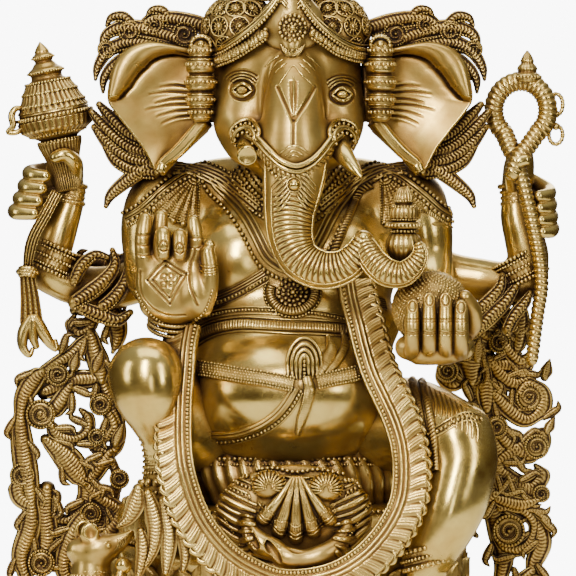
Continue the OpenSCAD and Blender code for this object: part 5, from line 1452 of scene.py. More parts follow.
for _name, _s in (("right_plume", -1), ("left_plume", 1)):
    plume_parts = []
    for _rows in (
            [[62, 568, 14], [78, 573, 15], [94, 576, 14], [108, 576, 12], [116, 571, 9], [114, 564, 5]],
            [[90, 560, 15], [108, 566, 15], [124, 569, 14], [138, 568, 12], [147, 562, 9], [150, 552, 4]],
            [[96, 552, 14], [114, 556, 14], [131, 557, 13], [145, 550, 11], [153, 538, 8], [155, 528, 3]],
            [[112, 546, 13], [126, 546, 13], [139, 540, 11], [148, 529, 8], [149, 518, 3]],
            [[126, 572, 9], [133, 578, 9], [142, 577, 7], [146, 571, 3]],
            [[96, 576, 8], [102, 583, 8], [110, 583, 6], [114, 578, 3]],
            [[108, 454, 11], [124, 456, 12], [138, 463, 11], [147, 474, 6]],
            [[112, 462, 11], [128, 465, 12], [143, 475, 12], [156, 490, 6]],
            [[114, 470, 11], [130, 475, 12], [145, 487, 12], [158, 502, 6]],
            [[116, 479, 11], [130, 486, 12], [142, 497, 11], [152, 508, 6]],
            [[118, 489, 10], [128, 496, 11], [139, 508, 6]],
            [[104, 463, 11], [118, 456, 13], [132, 446, 12], [143, 436, 9], [147, 427, 4]]):
        plume_parts += vine([[_s * r[0], r[1], r[2]] for r in _rows], -12, 2.6, 4.6, 2.9, 1.2, 0.7, 15)
        plume_parts.append(bead_line([(_s * (r[0] + 1.5), -18.6, r[1] - 0.42 * r[2]) for r in _rows[:-1]],
                1.15, 1.05))
    plume_parts += vine([[_s * r[0], r[1], r[2]] for r in ([92, 556, 26], [106, 530, 30], [108, 504, 30],
            [102, 470, 22])], -6, 4.0, 1.6, 2.2, 0.5)
    for _x, _z, _r, _a in ((128, 566, 8, 40), (84, 564, 9, 200), (108, 571, 7, 90), (146, 552, 6.5, 0)):
        plume_parts += volute(_s * _x, _z, _r, -14, 4.4, _s, _a if _s > 0 else 180 - _a)
    chased(_name + "_casting", plume_parts, _name, mat=AGED)

# ================================================================ front hands
hand = Clay((-134, -114, 318), (-48, -54, 432), 0.8)
hand.limb([(-94, -60, 338, 13), (-93, -66, 344, 16), (-92, -72, 350, 18)], 1, flat=0.8)
hand.limb([(-107, -76, 350, 14), (-110, -78, 364, 13.5), (-111, -79, 380, 11)], 6, flat=0.75)
hand.limb([(-93, -76, 348, 15), (-94, -78, 366, 15), (-94, -79, 384, 12)], 6, flat=0.75)
hand.limb([(-78, -78, 350, 14), (-77, -79, 366, 13), (-78, -79, 384, 10)], 6, flat=0.8)
hand.ball((-75, -86, 358), (10, 8, 15), 6)
hand.limb([(-116, -80, 380, 7.4), (-117.5, -82, 394, 6.9), (-117, -82, 407, 6.4), (-115.5, -80, 417, 5.2)], 2)
hand.limb([(-103, -80, 386, 7), (-102.5, -88, 398, 6.8), (-101.5, -94, 405, 6.2), (-101, -97, 397, 5.8),
        (-101, -95, 389, 5)], 1.6)
hand.limb([(-89, -80, 386, 7), (-88.5, -88, 397, 6.7), (-88, -95, 403, 6.2), (-88, -98, 395, 5.6),
        (-88, -96, 388, 4.8)], 1.6)
hand.limb([(-105, -74, 392, 7), (-104, -76, 408, 6.6), (-103, -76, 419, 5.4)], 1.6)
hand.limb([(-77, -80, 384, 7.2), (-75.5, -84, 397, 6.8), (-76, -85, 407, 6.2), (-77, -84, 415, 5)], 1.6)
hand.limb([(-70, -82, 346, 8), (-65, -86, 360, 7.4), (-64, -89, 376, 6.6), (-66, -89, 390, 5.8)], 3)
hand.ball((-64, -89, 396), (4.4, 4.4, 4.4), 1.5)
HAND_R = hand.mesh(2)
_dia = np.array([(-114, 368), (-96, 349), (-83, 373), (-100, 384), (-114, 368)], float)
_mid = np.array([-98.0, 367.5])
for _f in (1.0, 0.74):
    for _e0, _e1 in zip(_dia[:-1], _dia[1:]):
        carve(HAND_R, [(_mid + (p - _mid) * _f).tolist() for p in (_e0, (_e0 + _e1) / 2, _e1)], 0.8, 1.0)
for _t in np.radians(np.arange(45, 405, 90)):
    _c0 = _mid + 4.4 * np.array([math.cos(_t), math.sin(_t)])
    carve(HAND_R, [[_c0[0] + 2.3 * math.cos(e), _c0[1] + 2.3 * math.sin(e)] for e in np.linspace(0, 6.28,
            9)], 0.6, 0.8)
for _x, _z, _w in ((-117, 404, 6), (-117, 396, 6), (-117, 388, 6), (-76, 402, 6), (-76, 394, 6),
        (-101, 392, 5), (-88, 390.5, 5),
                   (-65, 378, 6), (-65, 374, 6)):
    carve(HAND_R, [[_x - _w, _z + 0.6], [_x, _z - 0.6], [_x + _w, _z + 0.6]], 0.7, 0.9)
for _x, _z in ((-101, 395), (-88, 393)):
    carve(HAND_R, [[_x + 3.2 * math.cos(t), _z + 4.4 * math.sin(t)] for t in np.linspace(3.3, 9.2, 12)], 0.6,
            1.0)
carve(HAND_R, [[-76, 392], [-80, 378], [-80, 364], [-74, 348]], 0.9, 1.2)
carve(HAND_R, [[-120, 376], [-119, 358], [-110, 346], [-98, 340], [-84, 340]], 0.7, 0.9)
polished("front_right_hand_casting", [HAND_R], "front_right_hand", mat=WORKED)
_hs = Skin(HAND_R)
_ho = []
for _rows in ([[-122, 362], [-113, 345], [-99, 335], [-83, 335], [-70, 344], [-64, 360]],):
    _ho.append(_hs.beads(offset(_rows, -2.0), 1.3, 1.05, 0.2))
for _z in (374.5, 379):
    _ho.append(_hs.line([[-72, _z + 1, 0.8], [-65, _z - 0.5, 1], [-58, _z + 1, 0.8]], 1.0, 0.3, 0.8))
for _k, _z in enumerate((330, 334, 338)):
    _ho.append(hoop((-95, -62 - 2.4 * _k, _z), (0.1, -0.5, 0.85), 18 - 0.5 * _k, 15.5 - 0.5 * _k, 1.9,
            relief=lambda s, a: 0.4 * np.cos(s * 2.4)))
chased("front_right_bracelet", _ho, "front_right_hand")

sweet = Clay((78, -126, 312), (148, -56, 382), 1.0)
sweet.ball((113, -90, 345), (31, 30, 30), 1)
SWEET = sweet.mesh(2)
sweet_parts = [SWEET]
_n = 1500
_k = np.arange(_n) + 0.5
_ph, thigh_parts = np.arccos(1 - 2 * _k / _n), math.pi * (1 + 5**0.5) * _k
_d = np.stack([np.cos(thigh_parts) * np.sin(_ph), np.sin(thigh_parts) * np.sin(_ph), np.cos(_ph)], 1)
_r = rng.uniform(1.0, 1.7, _n)
sweet_parts.append(beads(np.array([113, -90, 345]) + _d * np.array([30.4, 29.4, 29.4]), _r))
chased("sweets_ball_casting", sweet_parts, "sweets_ball")

left_hand_clay = Clay((74, -134, 300), (160, -46, 372), 0.8)
left_hand_clay.limb([(114, -56, 332, 15), (112, -70, 322, 17), (111, -84, 314, 16), (110, -98, 312, 14)], 1,
        flat=1.0)
left_hand_clay.limb([(94, -96, 314, 10), (108, -102, 312, 12), (124, -102, 312, 12), (138, -94, 314, 10)], 5)
for _x, _l in ((98, 350), (111.5, 355), (124.5, 355), (137, 349)):
    left_hand_clay.limb([(_x, -104, 310, 6.4), (_x, -117, 315, 6.3), (_x, -123, 326, 6.1),
            (_x, -122, 339, 5.8), (_x, -118, _l - 2, 5.2)], 0.8)
left_hand_clay.limb([(136, -78, 322, 8), (146, -90, 332, 7.5), (146, -100, 344, 6.8), (140, -106, 354, 5.8)],
        4)
HAND_L = left_hand_clay.mesh(2)
_hp = [HAND_L]
for _x, _l in ((98, 350), (111.5, 355), (124.5, 355), (137, 349)):
    for _z in (326, 336):
        for _d in (-0.9, 0.9):
            carve(HAND_L, [[_x - 5, _z + _d], [_x, _z - 0.8 + _d], [_x + 5, _z + _d]], 0.5, 0.8, -100)
    carve(HAND_L, [[_x + 3.2 * math.cos(t), _l - 3 + 4.6 * math.sin(t)] for t in np.linspace(3.3, 9.2, 12)],
            0.6, 1.1, -100)
polished("front_left_hand_casting", _hp, "front_left_hand", mat=WORKED)

# The sweet and its little pot held in the curl of the trunk.
_tc = (91, -104, 395)
ts = [lathe([[0.1, -13.6], [7, -11.6], [12, -6], [13.8, 0], [12.8, 6], [9.6, 10.5], [9.4, 13], [13, 14.5],
        [13.8, 16.5], [13, 18.5],
             [9.5, 20], [9.6, 21.5], [10.8, 24], [10.8, 29], [9, 32], [6.4, 33], [7.2, 35.5], [7.2, 40],
             [5.4, 44], [2.6, 46.6],
             [0.1, 47.5]], _tc, 84, 0.6, 18, 1.0, lambda z: z < 10 or 21 < z < 31 or z > 35)]
for _z, _r, _b in ((12, 10.6, 1.4), (16.5, 14.2, 1.5), (21, 10.2, 1.1), (31.4, 9.6, 1.3), (36, 7.6, 1.1)):
    ts.append(hoop((_tc[0], _tc[1], _tc[2] + _z), (0, 0, 1), _r, _r, _b, bead=_b))
chased("trunk_sweet_casting", ts, "trunk_sweet")

# ================================================================ rear arms
for _name, _s, upper_rows, fore_rows in (
        ("rear_right", -1,
         [(-76, 26, 406, 15), (-96, 28, 392, 17), (-122, 28, 368, 17.5), (-152, 22, 362, 17),
         (-178, 14, 366, 16), (-192, 12, 374, 14)],
         [(-194, 12, 374, 14), (-190, 11, 388, 14.5), (-184, 11, 408, 14), (-177, 12, 428, 12),
         (-174, 12, 440, 11)]),
        ("rear_left", 1,
         [(76, 26, 406, 15), (96, 28, 392, 17), (124, 28, 374, 17.5), (154, 22, 368, 17), (176, 14, 366, 16),
         (190, 12, 370, 14)],
         [(189, 12, 370, 15.5), (190.5, 11, 386, 16.5), (187, 11, 402, 15.8), (182.5, 11, 418, 14.2),
         (181, 12, 432, 12.2),
          (181, 12, 446, 12)])):
    _x0, _x1 = (-216, -60) if _s < 0 else (60, 216)
    _cy = Clay((_x0, -14, 336), (_x1, 52, 456), 1.1)
    _cy.limb(upper_rows, 1)
    _cy.limb(fore_rows, 8)
    ARM = _cy.mesh(2)
    _parts = [ARM]
    polished(_name + "_arm_casting", _parts, _name + "_arm")
    wrist_parts = []
    for _k, (_z, _r) in enumerate(((431, 11.4), (435.5, 10.8), (440, 10.4), (444.5, 10.2))):
        wrist_parts.append(hoop((_s * (176.5 - 0.25 * (_z - 431)) + (4.5 if _s > 0 else 0), 12, _z),
                (-0.2 * _s, 0, 1), _r, _r, 1.9 if _k in (0, 3) else 1.3,
                        relief=lambda s, a: 0.35 * np.cos(s * 2.4)))
    chased(_name + "_bangles", wrist_parts, _name + "_arm")

rear_right_clay = Clay((-232, -26, 408), (-158, 34, 488), 0.8)
rear_right_clay.limb([(-174, 12, 440, 9.6), (-177, 11, 448, 12), (-180, 9, 458, 13.5), (-184, 8, 466, 11)],
        1, flat=0.8)
for _k in range(4):
    _z = 454 - 10 * _k
    rear_right_clay.limb([(-182, 18, _z + 4, 5.8), (-196 - 2 * _k, 16, _z + 2, 6),
            (-207 - 3.6 * _k, 6, _z, 6.2), (-206 - 4 * _k, -7, _z - 2, 6),
             (-196 - 3 * _k, -12, _z - 3, 5.2)], 1)
rear_right_clay.limb([(-172, 6, 452, 7), (-172, -6, 462, 6.4), (-180, -12, 468, 5.6), (-187, -13, 466, 4.8)],
        3)
polished("rear_right_hand_casting", [rear_right_clay.mesh(2)], "rear_right_hand")

rear_left_clay = Clay((158, -28, 390), (228, 36, 484), 0.8)
rear_left_clay.limb([(181, 12, 440, 11.5), (182, 11, 450, 12.5), (183, 9, 460, 12), (185, 8, 468, 9)], 1,
        flat=0.85)
for _k in range(4):
    _z = 440 - 9.6 * _k
    rear_left_clay.limb([(184, 20, _z + 12, 5.6), (196, 20, _z + 6, 5.8), (206 + 0.8 * _k, 10, _z, 5.8),
            (206 + 0.9 * _k, -3, _z - 4, 5.6),
             (199 + _k, -10, _z - 5, 4.6)], 1.5)
rear_left_clay.limb([(178, 4, 444, 7), (177, -6, 454, 6.4), (182, -12, 462, 5.6), (188, -13, 464, 4.8)], 3)
polished("rear_left_hand_casting", [rear_left_clay.mesh(2)], "rear_left_hand")

# Bands on the rear elbows and the left ankle.
for _name, _c0, _tilt, _r in (("right_armlet", (-187, 12, 384), 24, 17.4),
        ("left_armlet", (184, 12, 377), -27, 18.2)):
    _ax = np.array([math.sin(math.radians(_tilt)), 0, math.cos(math.radians(_tilt))])
    _p = [lathe([[_r - 3, -11], [_r + 0.5, -11], [_r + 1.6, -9.6], [_r + 0.6, -8], [_r + 0.6, 8],
            [_r + 1.6, 9.6], [_r + 0.5, 11],
                 [_r - 3, 11]], _c0, 96, 0.6, 36, 0.9, lambda z: abs(z) < 6, tilt=_tilt)]
    for _z, _b in ((-10, 1.7), (10, 1.7), (-6.6, 1.3), (6.6, 1.3), (0, 1.5)):
        _p.append(hoop(np.array(_c0) + _ax * _z, _ax, _r + 1.6, _r + 1.6, _b, bead=_b))
    chased(_name + "_casting", _p, _name)

_p = [lathe([[14, -9], [20, -9], [21.5, -7.4], [20.4, -5.4], [19, -4], [19, 3], [20, 4.6], [20.8, 6.4],
        [19.4, 8], [14, 8]],
            (110, -95, 146), 96, 0.6, 40, 0.8, lambda z: abs(z) < 4, tilt=-14)]
for _z, _b in ((-7.6, 2.2), (6.4, 2.0), (-0.6, 1.6)):
    _p.append(hoop(np.array((110, -95, 146)) + np.array([-0.242, 0, 0.970]) * _z, (-0.242, 0, 0.970), 20.6,
            20.6, _b, bead=_b))
chased("left_anklet_casting", _p, "left_anklet")

# ================================================================ what the rear hands hold
goad_centre = (-181, 4, 464)
_gax = np.array([-math.sin(math.radians(11)), 0, math.cos(math.radians(11))])
goad = [lathe([[0.1, -24], [8, -24], [9.6, -11], [12, 0], [14.6, 8], [16, 12], [16.6, 15.5], [14.6, 17],
        [19, 20], [24, 23.5],
               [27.4, 26], [28.4, 30], [29.4, 34.4], [29.8, 36], [28, 38], [28.4, 39.4], [27.4, 41.6],
               [25.4, 44.4], [25.8, 46],
               [23.6, 49], [21.4, 54], [21.8, 55.4], [19.6, 58], [17.4, 62], [17.6, 63.6], [13, 66],
               [12.6, 69], [14, 71],
               [13.6, 73.4], [10.6, 75.4], [8.6, 78], [7, 80], [8.6, 82.4], [8.4, 84.6], [6, 86.6],
               [5.6, 88.6], [3.4, 92],
               [0.1, 96]], goad_centre, 168, 0.5, 34, 1.5, lambda z: z < 15 or 20 < z < 34 or 41 < z < 62.5,
               tilt=-11)]
for _z, _r, _b in ((36.4, 30, 1.7), (16, 16.8, 1.4), (46, 26, 1.5), (55.4, 22, 1.3), (63.6, 17.8, 1.3),
        (71.6, 14.2, 1.2), (83, 8.8, 1.0),
                   (22, 22.4, 1.3), (5, 13.8, 1.1)):
    goad.append(hoop(np.array(goad_centre) + _gax * _z, _gax, _r, _r, _b, bead=_b))
for _r0 in ([(-213, -4, 505, 0.8), (-219, -6, 504.6, 1.1), (-222, -6, 499, 1.3), (-221, -6, 491, 1.2),
        (-225, -6, 486, 0.9),
             (-218, -6, 486, 1.0), (-212, -4, 490, 0.8)],):
    goad.append(rod(_r0, 2.3, 0.8, 12))
chased("goad_casting", goad, "goad")


def coil(rows, r, pitch=4.2, cut=1.0, sides=24, step=0.6):
    return rod(rows, r, step, sides, relief=lambda s, a: cut
            * (np.abs(np.cos(math.pi * s / pitch + 0.5 * np.cos(a))) ** 0.7 - 0.6))


noose_centre = (184, 2, 502)
_loop = [(noose_centre[0] + 21.5 * math.cos(math.radians(-50 + 280 / 12 * k)), noose_centre[1] - 3 + 0.5 * k,
          noose_centre[2] + 1.5 + 23 * math.sin(math.radians(-50 + 280 / 12 * k)), 1.0) for k in range(13)]
noose_parts = [coil(_loop, 7.6)]
noose_parts.append(coil([(171, 3, 485, 1), (176, -2, 473, 1), (182, -4, 461, 0.9), (184, -6, 448, 0.8)], 7.4))
noose_parts.append(coil([(197, -3, 485, 1), (190, -6, 475, 1), (182, -10, 464, 1), (177, -12, 452, 0.9)],
        7.2))
noose_parts.append(lathe([[0.1, -4], [9, -4], [10.6, -1], [9.6, 2], [7, 4], [7.6, 6.5], [6.4, 9], [4.6, 11],
        [4.8, 13], [3, 17], [0.1, 21]],
                (189, 2, 530), 48, 0.6, 14, 0.6))
noose_parts.append(hoop((189, 2, 530), (0, 0, 1), 10.6, 10.6, 1.4, bead=1.4))
for _cz, _rz in ((508, 8.5), (484, 7.5)):
    noose_parts += [rod([(212 + 5.5 * math.cos(t), 2, _cz + _rz * math.sin(t), 1) for t in np.linspace(_o,
            _o + 2 * math.pi, 15)], 1.7, 1.0, 12,
               relief=lambda s, a: 0.25 * np.cos(s * 2.2)) for _o in (0.0,)]
    noose_parts.append(beads([(212, 2, _cz + (-_rz if _cz > 496 else _rz) * 0.9)], 3.2, FINE_BEAD))
noose_parts.append(beads([(208, 2, 496)], 4.6, FINE_BEAD))
chased("noose_casting", noose_parts, "noose")
chased("noose_tail_casting",
       [coil([(182, -8, 460, 1), (188, -12, 438, 1), (193, -12, 418, 1), (199, -8, 388, 1),
       (201, -6, 364, 1), (198, -4, 340, 0.96),
              (194, -2, 306, 0.9)], 5.6, 4.6, 1.1), beads([(193.6, -2, 304)], 5.0, FINE_BEAD)], "noose_tail")

# The pleated scarf that hangs from the hand with the goad.
_sr = [(-186, -12, 438), (-195, -14, 421), (-206, -13, 400), (-210, -10, 376), (-208, -6, 352),
        (-207, -2, 334)]
SC, _q, _w = sweep(_sr, [(0, -1, 0)] * 6, 15, lambda s, u: 1.6 * np.abs(np.cos(2.0 * math.pi * u)) + 0.4
        * np.abs(np.cos(s * 0.9)) + 0.6,
                   30, 1.0, 4.0, ([0, 0.45, 0.58, 0.64, 1], [0.6, 0.62, 0.5, 0.8, 1.25]))
scarf_parts = [SC]
for _rows in ([(-206, -2, 338, 1.2), (-213, -2, 326, 1.1), (-214, -2, 315, 0.8), (-209, -3, 308, 0.5),
        (-206, -3, 313, 0.3)],
              [(-205, -2, 338, 1.2), (-198, -2, 326, 1.1), (-192, -2, 317, 0.8), (-187, -3, 313, 0.5),
              (-188, -3, 320, 0.3)],
              [(-206, -3, 336, 1.1), (-206, -3, 324, 0.9), (-203, -3, 314, 0.5)]):
    scarf_parts.append(rod(_rows, 4.4, 0.7, 16, relief=lambda s, a: 0.5 * np.abs(np.cos(2 * a))))
for _d in (-6, 0, 6):
    scarf_parts.append(hoop((-210, -10, 374 + 0.4 * _d), (0.1, 0.2, 1), 7.2 - abs(_d) * 0.3, 6, 2.0,
            relief=lambda s, a: 0.4 * np.cos(s * 2.4)))
chased("right_scarf_casting", scarf_parts, "right_scarf")


# ================================================================ side pillars
right_vines = [
    [[-198, 294, 9], [-205, 288, 11], [-214, 272, 11], [-216, 248, 12], [-212, 216, 13], [-208, 188, 13],
     [-209, 168, 12], [-216, 144, 12], [-211, 120, 12], [-214, 92, 12], [-205, 68, 14]],
    [[-192, 252, 8], [-186, 243, 9], [-174, 240, 9], [-163, 246, 8], [-162, 257, 7], [-168, 264, 6]],
    [[-152, 290, 10], [-145, 270, 10], [-138, 246, 9], [-142, 230, 9], [-153, 232, 8], [-160, 240, 6],
     [-156, 247, 5]],
    [[-196, 240, 9], [-184, 228, 11], [-174, 214, 11], [-165, 204, 10]],
    [[-144, 230, 9], [-154, 216, 9], [-164, 204, 10]],
    [[-166, 212, 10], [-162, 195, 12], [-167, 181, 12], [-181, 174, 11], [-193, 182, 9], [-196, 191, 7],
     [-190, 195, 5]],
    [[-208, 186, 9], [-217, 194, 10], [-219, 208, 12]],
    [[-163, 203, 9], [-152, 192, 10], [-139, 184, 9], [-127, 176, 6]],
    [[-144, 224, 8], [-138, 210, 13]],
    [[-165, 179, 12], [-176, 160, 11], [-182, 136, 11], [-174, 112, 11], [-178, 86, 12], [-176, 68, 14]],
    [[-198, 290, 14], [-184, 302, 9], [-173, 310, 9], [-161, 324, 9]],
    [[-158, 357, 8], [-158, 341, 8], [-161, 330, 8], [-170, 326, 8], [-175, 333, 7], [-172, 340, 5]],
    [[-179, 355, 7], [-170, 360, 8], [-168, 372, 8], [-160, 382, 8], [-150, 382, 8], [-144, 373, 6]],
    [[-162, 365, 6], [-155, 358, 7], [-148, 364, 6], [-153, 371, 5]],
    [[-128, 386, 9], [-138, 380, 8], [-143, 370, 7], [-144, 359, 7], [-137, 354, 6]],
    [[-153, 354, 10], [-142, 340, 12], [-138, 324, 10], [-142, 310, 5]],
    [[-160, 326, 10], [-157, 312, 11], [-153, 300, 12], [-151, 286, 12]],
    [[-197, 278, 12], [-184, 284, 11], [-168, 288, 11], [-151, 288, 11]],
    [[-200, 260, 17], [-190, 250, 10]],
    [[-176, 284, 9], [-184, 270, 10], [-194, 258, 10]],
    [[-205, 142, 18], [-190, 150, 11], [-176, 158, 10]],
    [[-211, 120, 10], [-196, 108, 10], [-184, 116, 8], [-190, 126, 6]],
    [[-176, 110, 10], [-160, 98, 10], [-150, 110, 8], [-156, 120, 6]],
    [[-178, 86, 9], [-192, 82, 9], [-205, 72, 9]],
    [[-190, 238, 6], [-180, 228, 12], [-171, 217, 12], [-163, 207, 5]],
    [[-195, 200, 13], [-197, 180, 13], [-195, 160, 13], [-199, 146, 12]],
    [[-140, 200, 10], [-148, 190, 14], [-152, 178, 16], [-158, 166, 12], [-166, 158, 8]],
    [[-134, 186, 8], [-140, 172, 10], [-150, 160, 10], [-160, 150, 9]],
    [[-146, 262, 9], [-141, 250, 8], [-146, 240, 7]],
    [[-172, 344, 9], [-160, 348, 10], [-148, 352, 9], [-138, 360, 8], [-132, 372, 6]],
]
right_leaves = [
    [[-172, 350, 10], [-160, 358, 12], [-148, 368, 11], [-140, 380, 8], [-142, 392, 4]],
    [[-150, 346, 10], [-140, 354, 11], [-132, 366, 9], [-128, 382, 6]],
    [[-166, 346, 9], [-152, 340, 11], [-138, 336, 9], [-128, 342, 5]],
    [[-172, 368, 8], [-166, 380, 9], [-156, 388, 7], [-146, 386, 5]],
]
left_leaves = [
    [[152, 330, 9], [162, 340, 11], [172, 350, 10], [180, 362, 6]],
    [[150, 344, 9], [160, 352, 10], [168, 362, 8], [170, 372, 4]],
    [[174, 328, 8], [180, 340, 9], [188, 350, 8], [192, 358, 4]],
]
left_vines = [
    [[140, 380, 7], [146, 374, 8], [157, 365, 9], [168, 352, 9], [173, 338, 8], [184, 326, 8], [191, 332, 6]],
    [[166, 352, 12], [162, 336, 14], [154, 320, 18], [146, 304, 20], [146, 286, 18]],
    [[140, 290, 8], [131, 285, 9], [123, 291, 9], [125, 299, 7]],
    [[166, 328, 8], [175, 312, 8], [185, 303, 8], [191, 309, 6]],
    [[160, 306, 10], [169, 292, 11], [182, 285, 10], [194, 291, 8]],
    [[148, 290, 18], [156, 268, 14], [162, 250, 13], [166, 230, 13], [166, 210, 13], [163, 190, 13],
     [167, 170, 12], [172, 144, 12], [167, 112, 12], [173, 84, 12], [168, 68, 14]],
    [[164, 276, 10], [176, 264, 10], [190, 256, 10], [202, 265, 10], [202, 278, 9], [192, 285, 8],
    [185, 278, 6],
     [190, 271, 5]],
    [[165, 248, 10], [178, 234, 10], [192, 227, 10], [202, 234, 9], [202, 244, 8], [194, 246, 6]],
    [[166, 218, 10], [180, 205, 11], [194, 202, 11], [202, 211, 9], [197, 219, 6]],
    [[166, 192, 10], [186, 187, 9], [203, 193, 4]],
    [[168, 184, 9], [184, 184, 8], [196, 172, 8], [190, 154, 8], [174, 152, 8], [166, 164, 7], [174, 174, 6],
     [182, 168, 5]],
    [[196, 180, 9], [202, 158, 11], [195, 134, 11], [201, 106, 11], [192, 68, 14]],
    [[168, 114, 10], [152, 100, 10], [142, 112, 8], [148, 122, 6]],
    [[196, 134, 9], [184, 122, 9], [178, 110, 8]],
    [[198, 104, 9], [184, 90, 9], [172, 88, 9]],
    [[166, 196, 9], [150, 186, 9], [142, 172, 8], [150, 162, 6]],
    [[160, 254, 8], [148, 256, 8], [143, 266, 6]],
    [[150, 266, 10], [151, 278, 12], [152, 288, 12]],
    [[158, 264, 10], [158, 276, 12], [158, 288, 12]],
    [[166, 266, 10], [165, 278, 12], [163, 288, 12]],
    [[124, 304, 9], [134, 312, 11], [146, 316, 10], [158, 314, 8]],
    [[128, 320, 8], [140, 326, 10], [152, 326, 9], [162, 320, 8]],
    [[166, 222, 8], [180, 230, 12], [194, 236, 12], [204, 232, 6]],
    [[164, 190, 8], [178, 196, 13], [192, 198, 12], [205, 192, 4]],
    [[182, 352, 8], [185, 338, 9], [184, 322, 9], [181, 308, 8]],
    [[158, 300, 10], [174, 300, 11], [188, 300, 10], [194, 306, 5]],
]


def pillar(name, rows, posts, bosses, buds, leaves):
    parts = []
    for r in leaves:
        parts += vine(r, -3, 2.0, 5.0, 3.4, 1.5, 0.8, 13, 1.1, 1.2)
        parts.append(bead_line([(a[0], -9.2, a[1] - 0.5 * a[2]) for a in r[:-1]], 1.15, 1.05))
    for k, r in enumerate(rows):
        q = spline([a[:3] for a in r], 3 * len(r)) if len(r) > 2 else np.array(r, float)
        t = np.linspace(0, 1, len(q))
        wide = 1.0 + 0.55 * np.abs(np.sin(math.pi * t * max(1,
                round(len(r) / 3)))) ** 0.8 - 0.35 * (len(r) < 8) * (t > 0.85)
        parts += vine([[a[0], a[1], a[2] * g] for a, g in zip(q, wide)], 45 + 2.0 * (k % 3), 4.5, 6.5, 2.7,
                0.9, 0.85, 17, 1.2, 1.05)
        line, reach = walk([a[:2] for a in q], 1.0, 2)
        slope = unit(np.gradient(line, axis=0))
        for i, at in enumerate(np.arange(12, reach[-1] - 6, 19)):
            j = int(at / reach[-1] * (len(line) - 1))
            o, f, g = line[j], slope[j], (1 if (i + k) % 2 else -1)
            o = o + g * np.array([-f[1], f[0]]) * 0.5 * r[0][2]
            f1, f2, f3 = f, g * np.array([-f[1], f[0]]), f
            leaf = [o - f1 * 6, o + f2 * 3.5, o + f2 * 6.5 + f3 * 6, o + f2 * 4.0 + f3 * 10.5]
            parts += vine([[*leaf[0], 5], [*leaf[1], 7.5], [*leaf[2], 6], [*leaf[3], 1.8]], 43, 5.0, 3.0,
                    2.4, 0.8, 0.9, 11, 0.8)
    w = posts[1] - posts[0] + 24
    g = []
    for z, i in ((69, 0), (75, 0), (77, 1.5), (81, 1.5), (83, 0.4)):
        x0, x1, y0, y1 = posts[0] - 12 + i, posts[0] - 12 + w - i, 34 + i, 56 - i
        g.append([(x, y0, z) for x in np.linspace(x0, x1, 40)]
                + [(x1, y, z) for y in np.linspace(y0, y1, 14)[1:-1]]
                 + [(x, y1, z) for x in np.linspace(x1, x0, 40)]
                         + [(x0, y, z) for y in np.linspace(y1, y0, 14)[1:-1]])
    parts.append(rings(np.array(g, float)))
    for x, z, r in bosses:
        parts += volute(x, z, r, 44, 9.0, 1 if x + z > 250 else -1, 7 * x)
    for x, z, tx, tz, r in buds:
        q = np.array([[x, z], [x + tx * 0.4, z + tz * 0.4], [x + tx, z + tz]])
        parts += vine([[q[0][0], q[0][1], r], [q[1][0], q[1][1], r * 1.5], [q[2][0], q[2][1], r * 0.3]], 43,
                6.0, 3.0, 2.0, 0.8)
    chased(name + "_casting", parts, name, mat=AGED)


pillar("right_pillar", right_vines, (-205, -176), [(-200, 260, 11), (-215, 211, 9), (-137, 208, 7),
        (-155, 242, 6), (-186, 292, 8),
                                                    (-152, 268, 8), (-200, 140, 10), (-160, 180, 8),
                                                    (-196, 112, 9)],
       [(-156, 296, 6, 16, 8), (-140, 236, 6, 16, 7), (-214, 232, -6, 14, 7), (-174, 296, 4, 14, 7)],
       right_leaves)
pillar("left_pillar", left_vines, (168, 192), [(192, 274, 10), (198, 234, 9), (176, 166, 12), (202, 196, 6),
        (126, 295, 8),
                                               (166, 250, 8), (198, 120, 9), (168, 318, 8)],
       [(150, 304, 2, 18, 9), (140, 204, -8, 14, 7), (204, 290, 4, 14, 7), (206, 246, 6, 12, 6)], left_leaves)

# ================================================================ the mouse
mouse_clay = Clay((-200, -118, 45.5), (-120, -30, 182), 1.1)


def m_at(rows):
    return [(x - 160, y - 72, z * 1.17 + 46, r) for x, y, z, r in rows]


mouse_clay.limb(m_at([(-6, 8, 10, 25), (-6, 6, 20, 27), (-2, 0, 42, 23), (0, -2, 66, 17.5), (0, -2, 84, 14),
        (2, -2, 92, 10)]), 1)
mouse_clay.limb(m_at([(-10, -2, 89, 10), (4, -4, 89, 14), (18, -6, 93, 9), (28, -8, 98, 5),
        (32, -8, 101, 3)]), 4)
mouse_clay.ball((-166, -66, 166), (8, 4, 9), 2)
mouse_clay.ball((-161, -85, 164), (8, 4, 9), 2)
mouse_clay.ball((-165, -69, 167), (5, 3, 6), 1.5, cut=True)
mouse_clay.ball((-160, -89, 165), (5, 3, 6), 1.5, cut=True)
mouse_clay.limb(m_at([(4, -10, 56, 7), (14, -20, 58, 6), (22, -22, 68, 4.5), (24, -22, 74, 3.4)]), 4)
mouse_clay.limb(m_at([(10, 2, 56, 6), (20, -10, 60, 5), (25, -16, 70, 4), (25, -18, 75, 3)]), 4)
mouse_clay.limb(m_at([(-6, -14, 14, 14), (6, -22, 12, 11), (16, -26, 6, 7), (24, -28, 4, 5)]), 5)
mouse_clay.limb(m_at([(8, 18, 14, 12), (18, 12, 10, 9), (26, 8, 5, 6)]), 5)
MOUSE = mouse_clay.mesh(2)
mouse_parts = [MOUSE]
mouse_skin = Skin(MOUSE)
for _z, _r in ((129, 1.6), (133, 1.3), (137, 1.6), (141, 1.2)):
    mouse_parts.append(hoop((-159.5, -74, _z), (0.05, 0, 1), 16.4 - 0.35 * (_z - 129),
            16.6 - 0.35 * (_z - 129), _r, bead=_r))
mouse_parts.append(beads([(-146, -87.5, 154), (-145, -72, 158)], 2.4, FINE_BEAD))
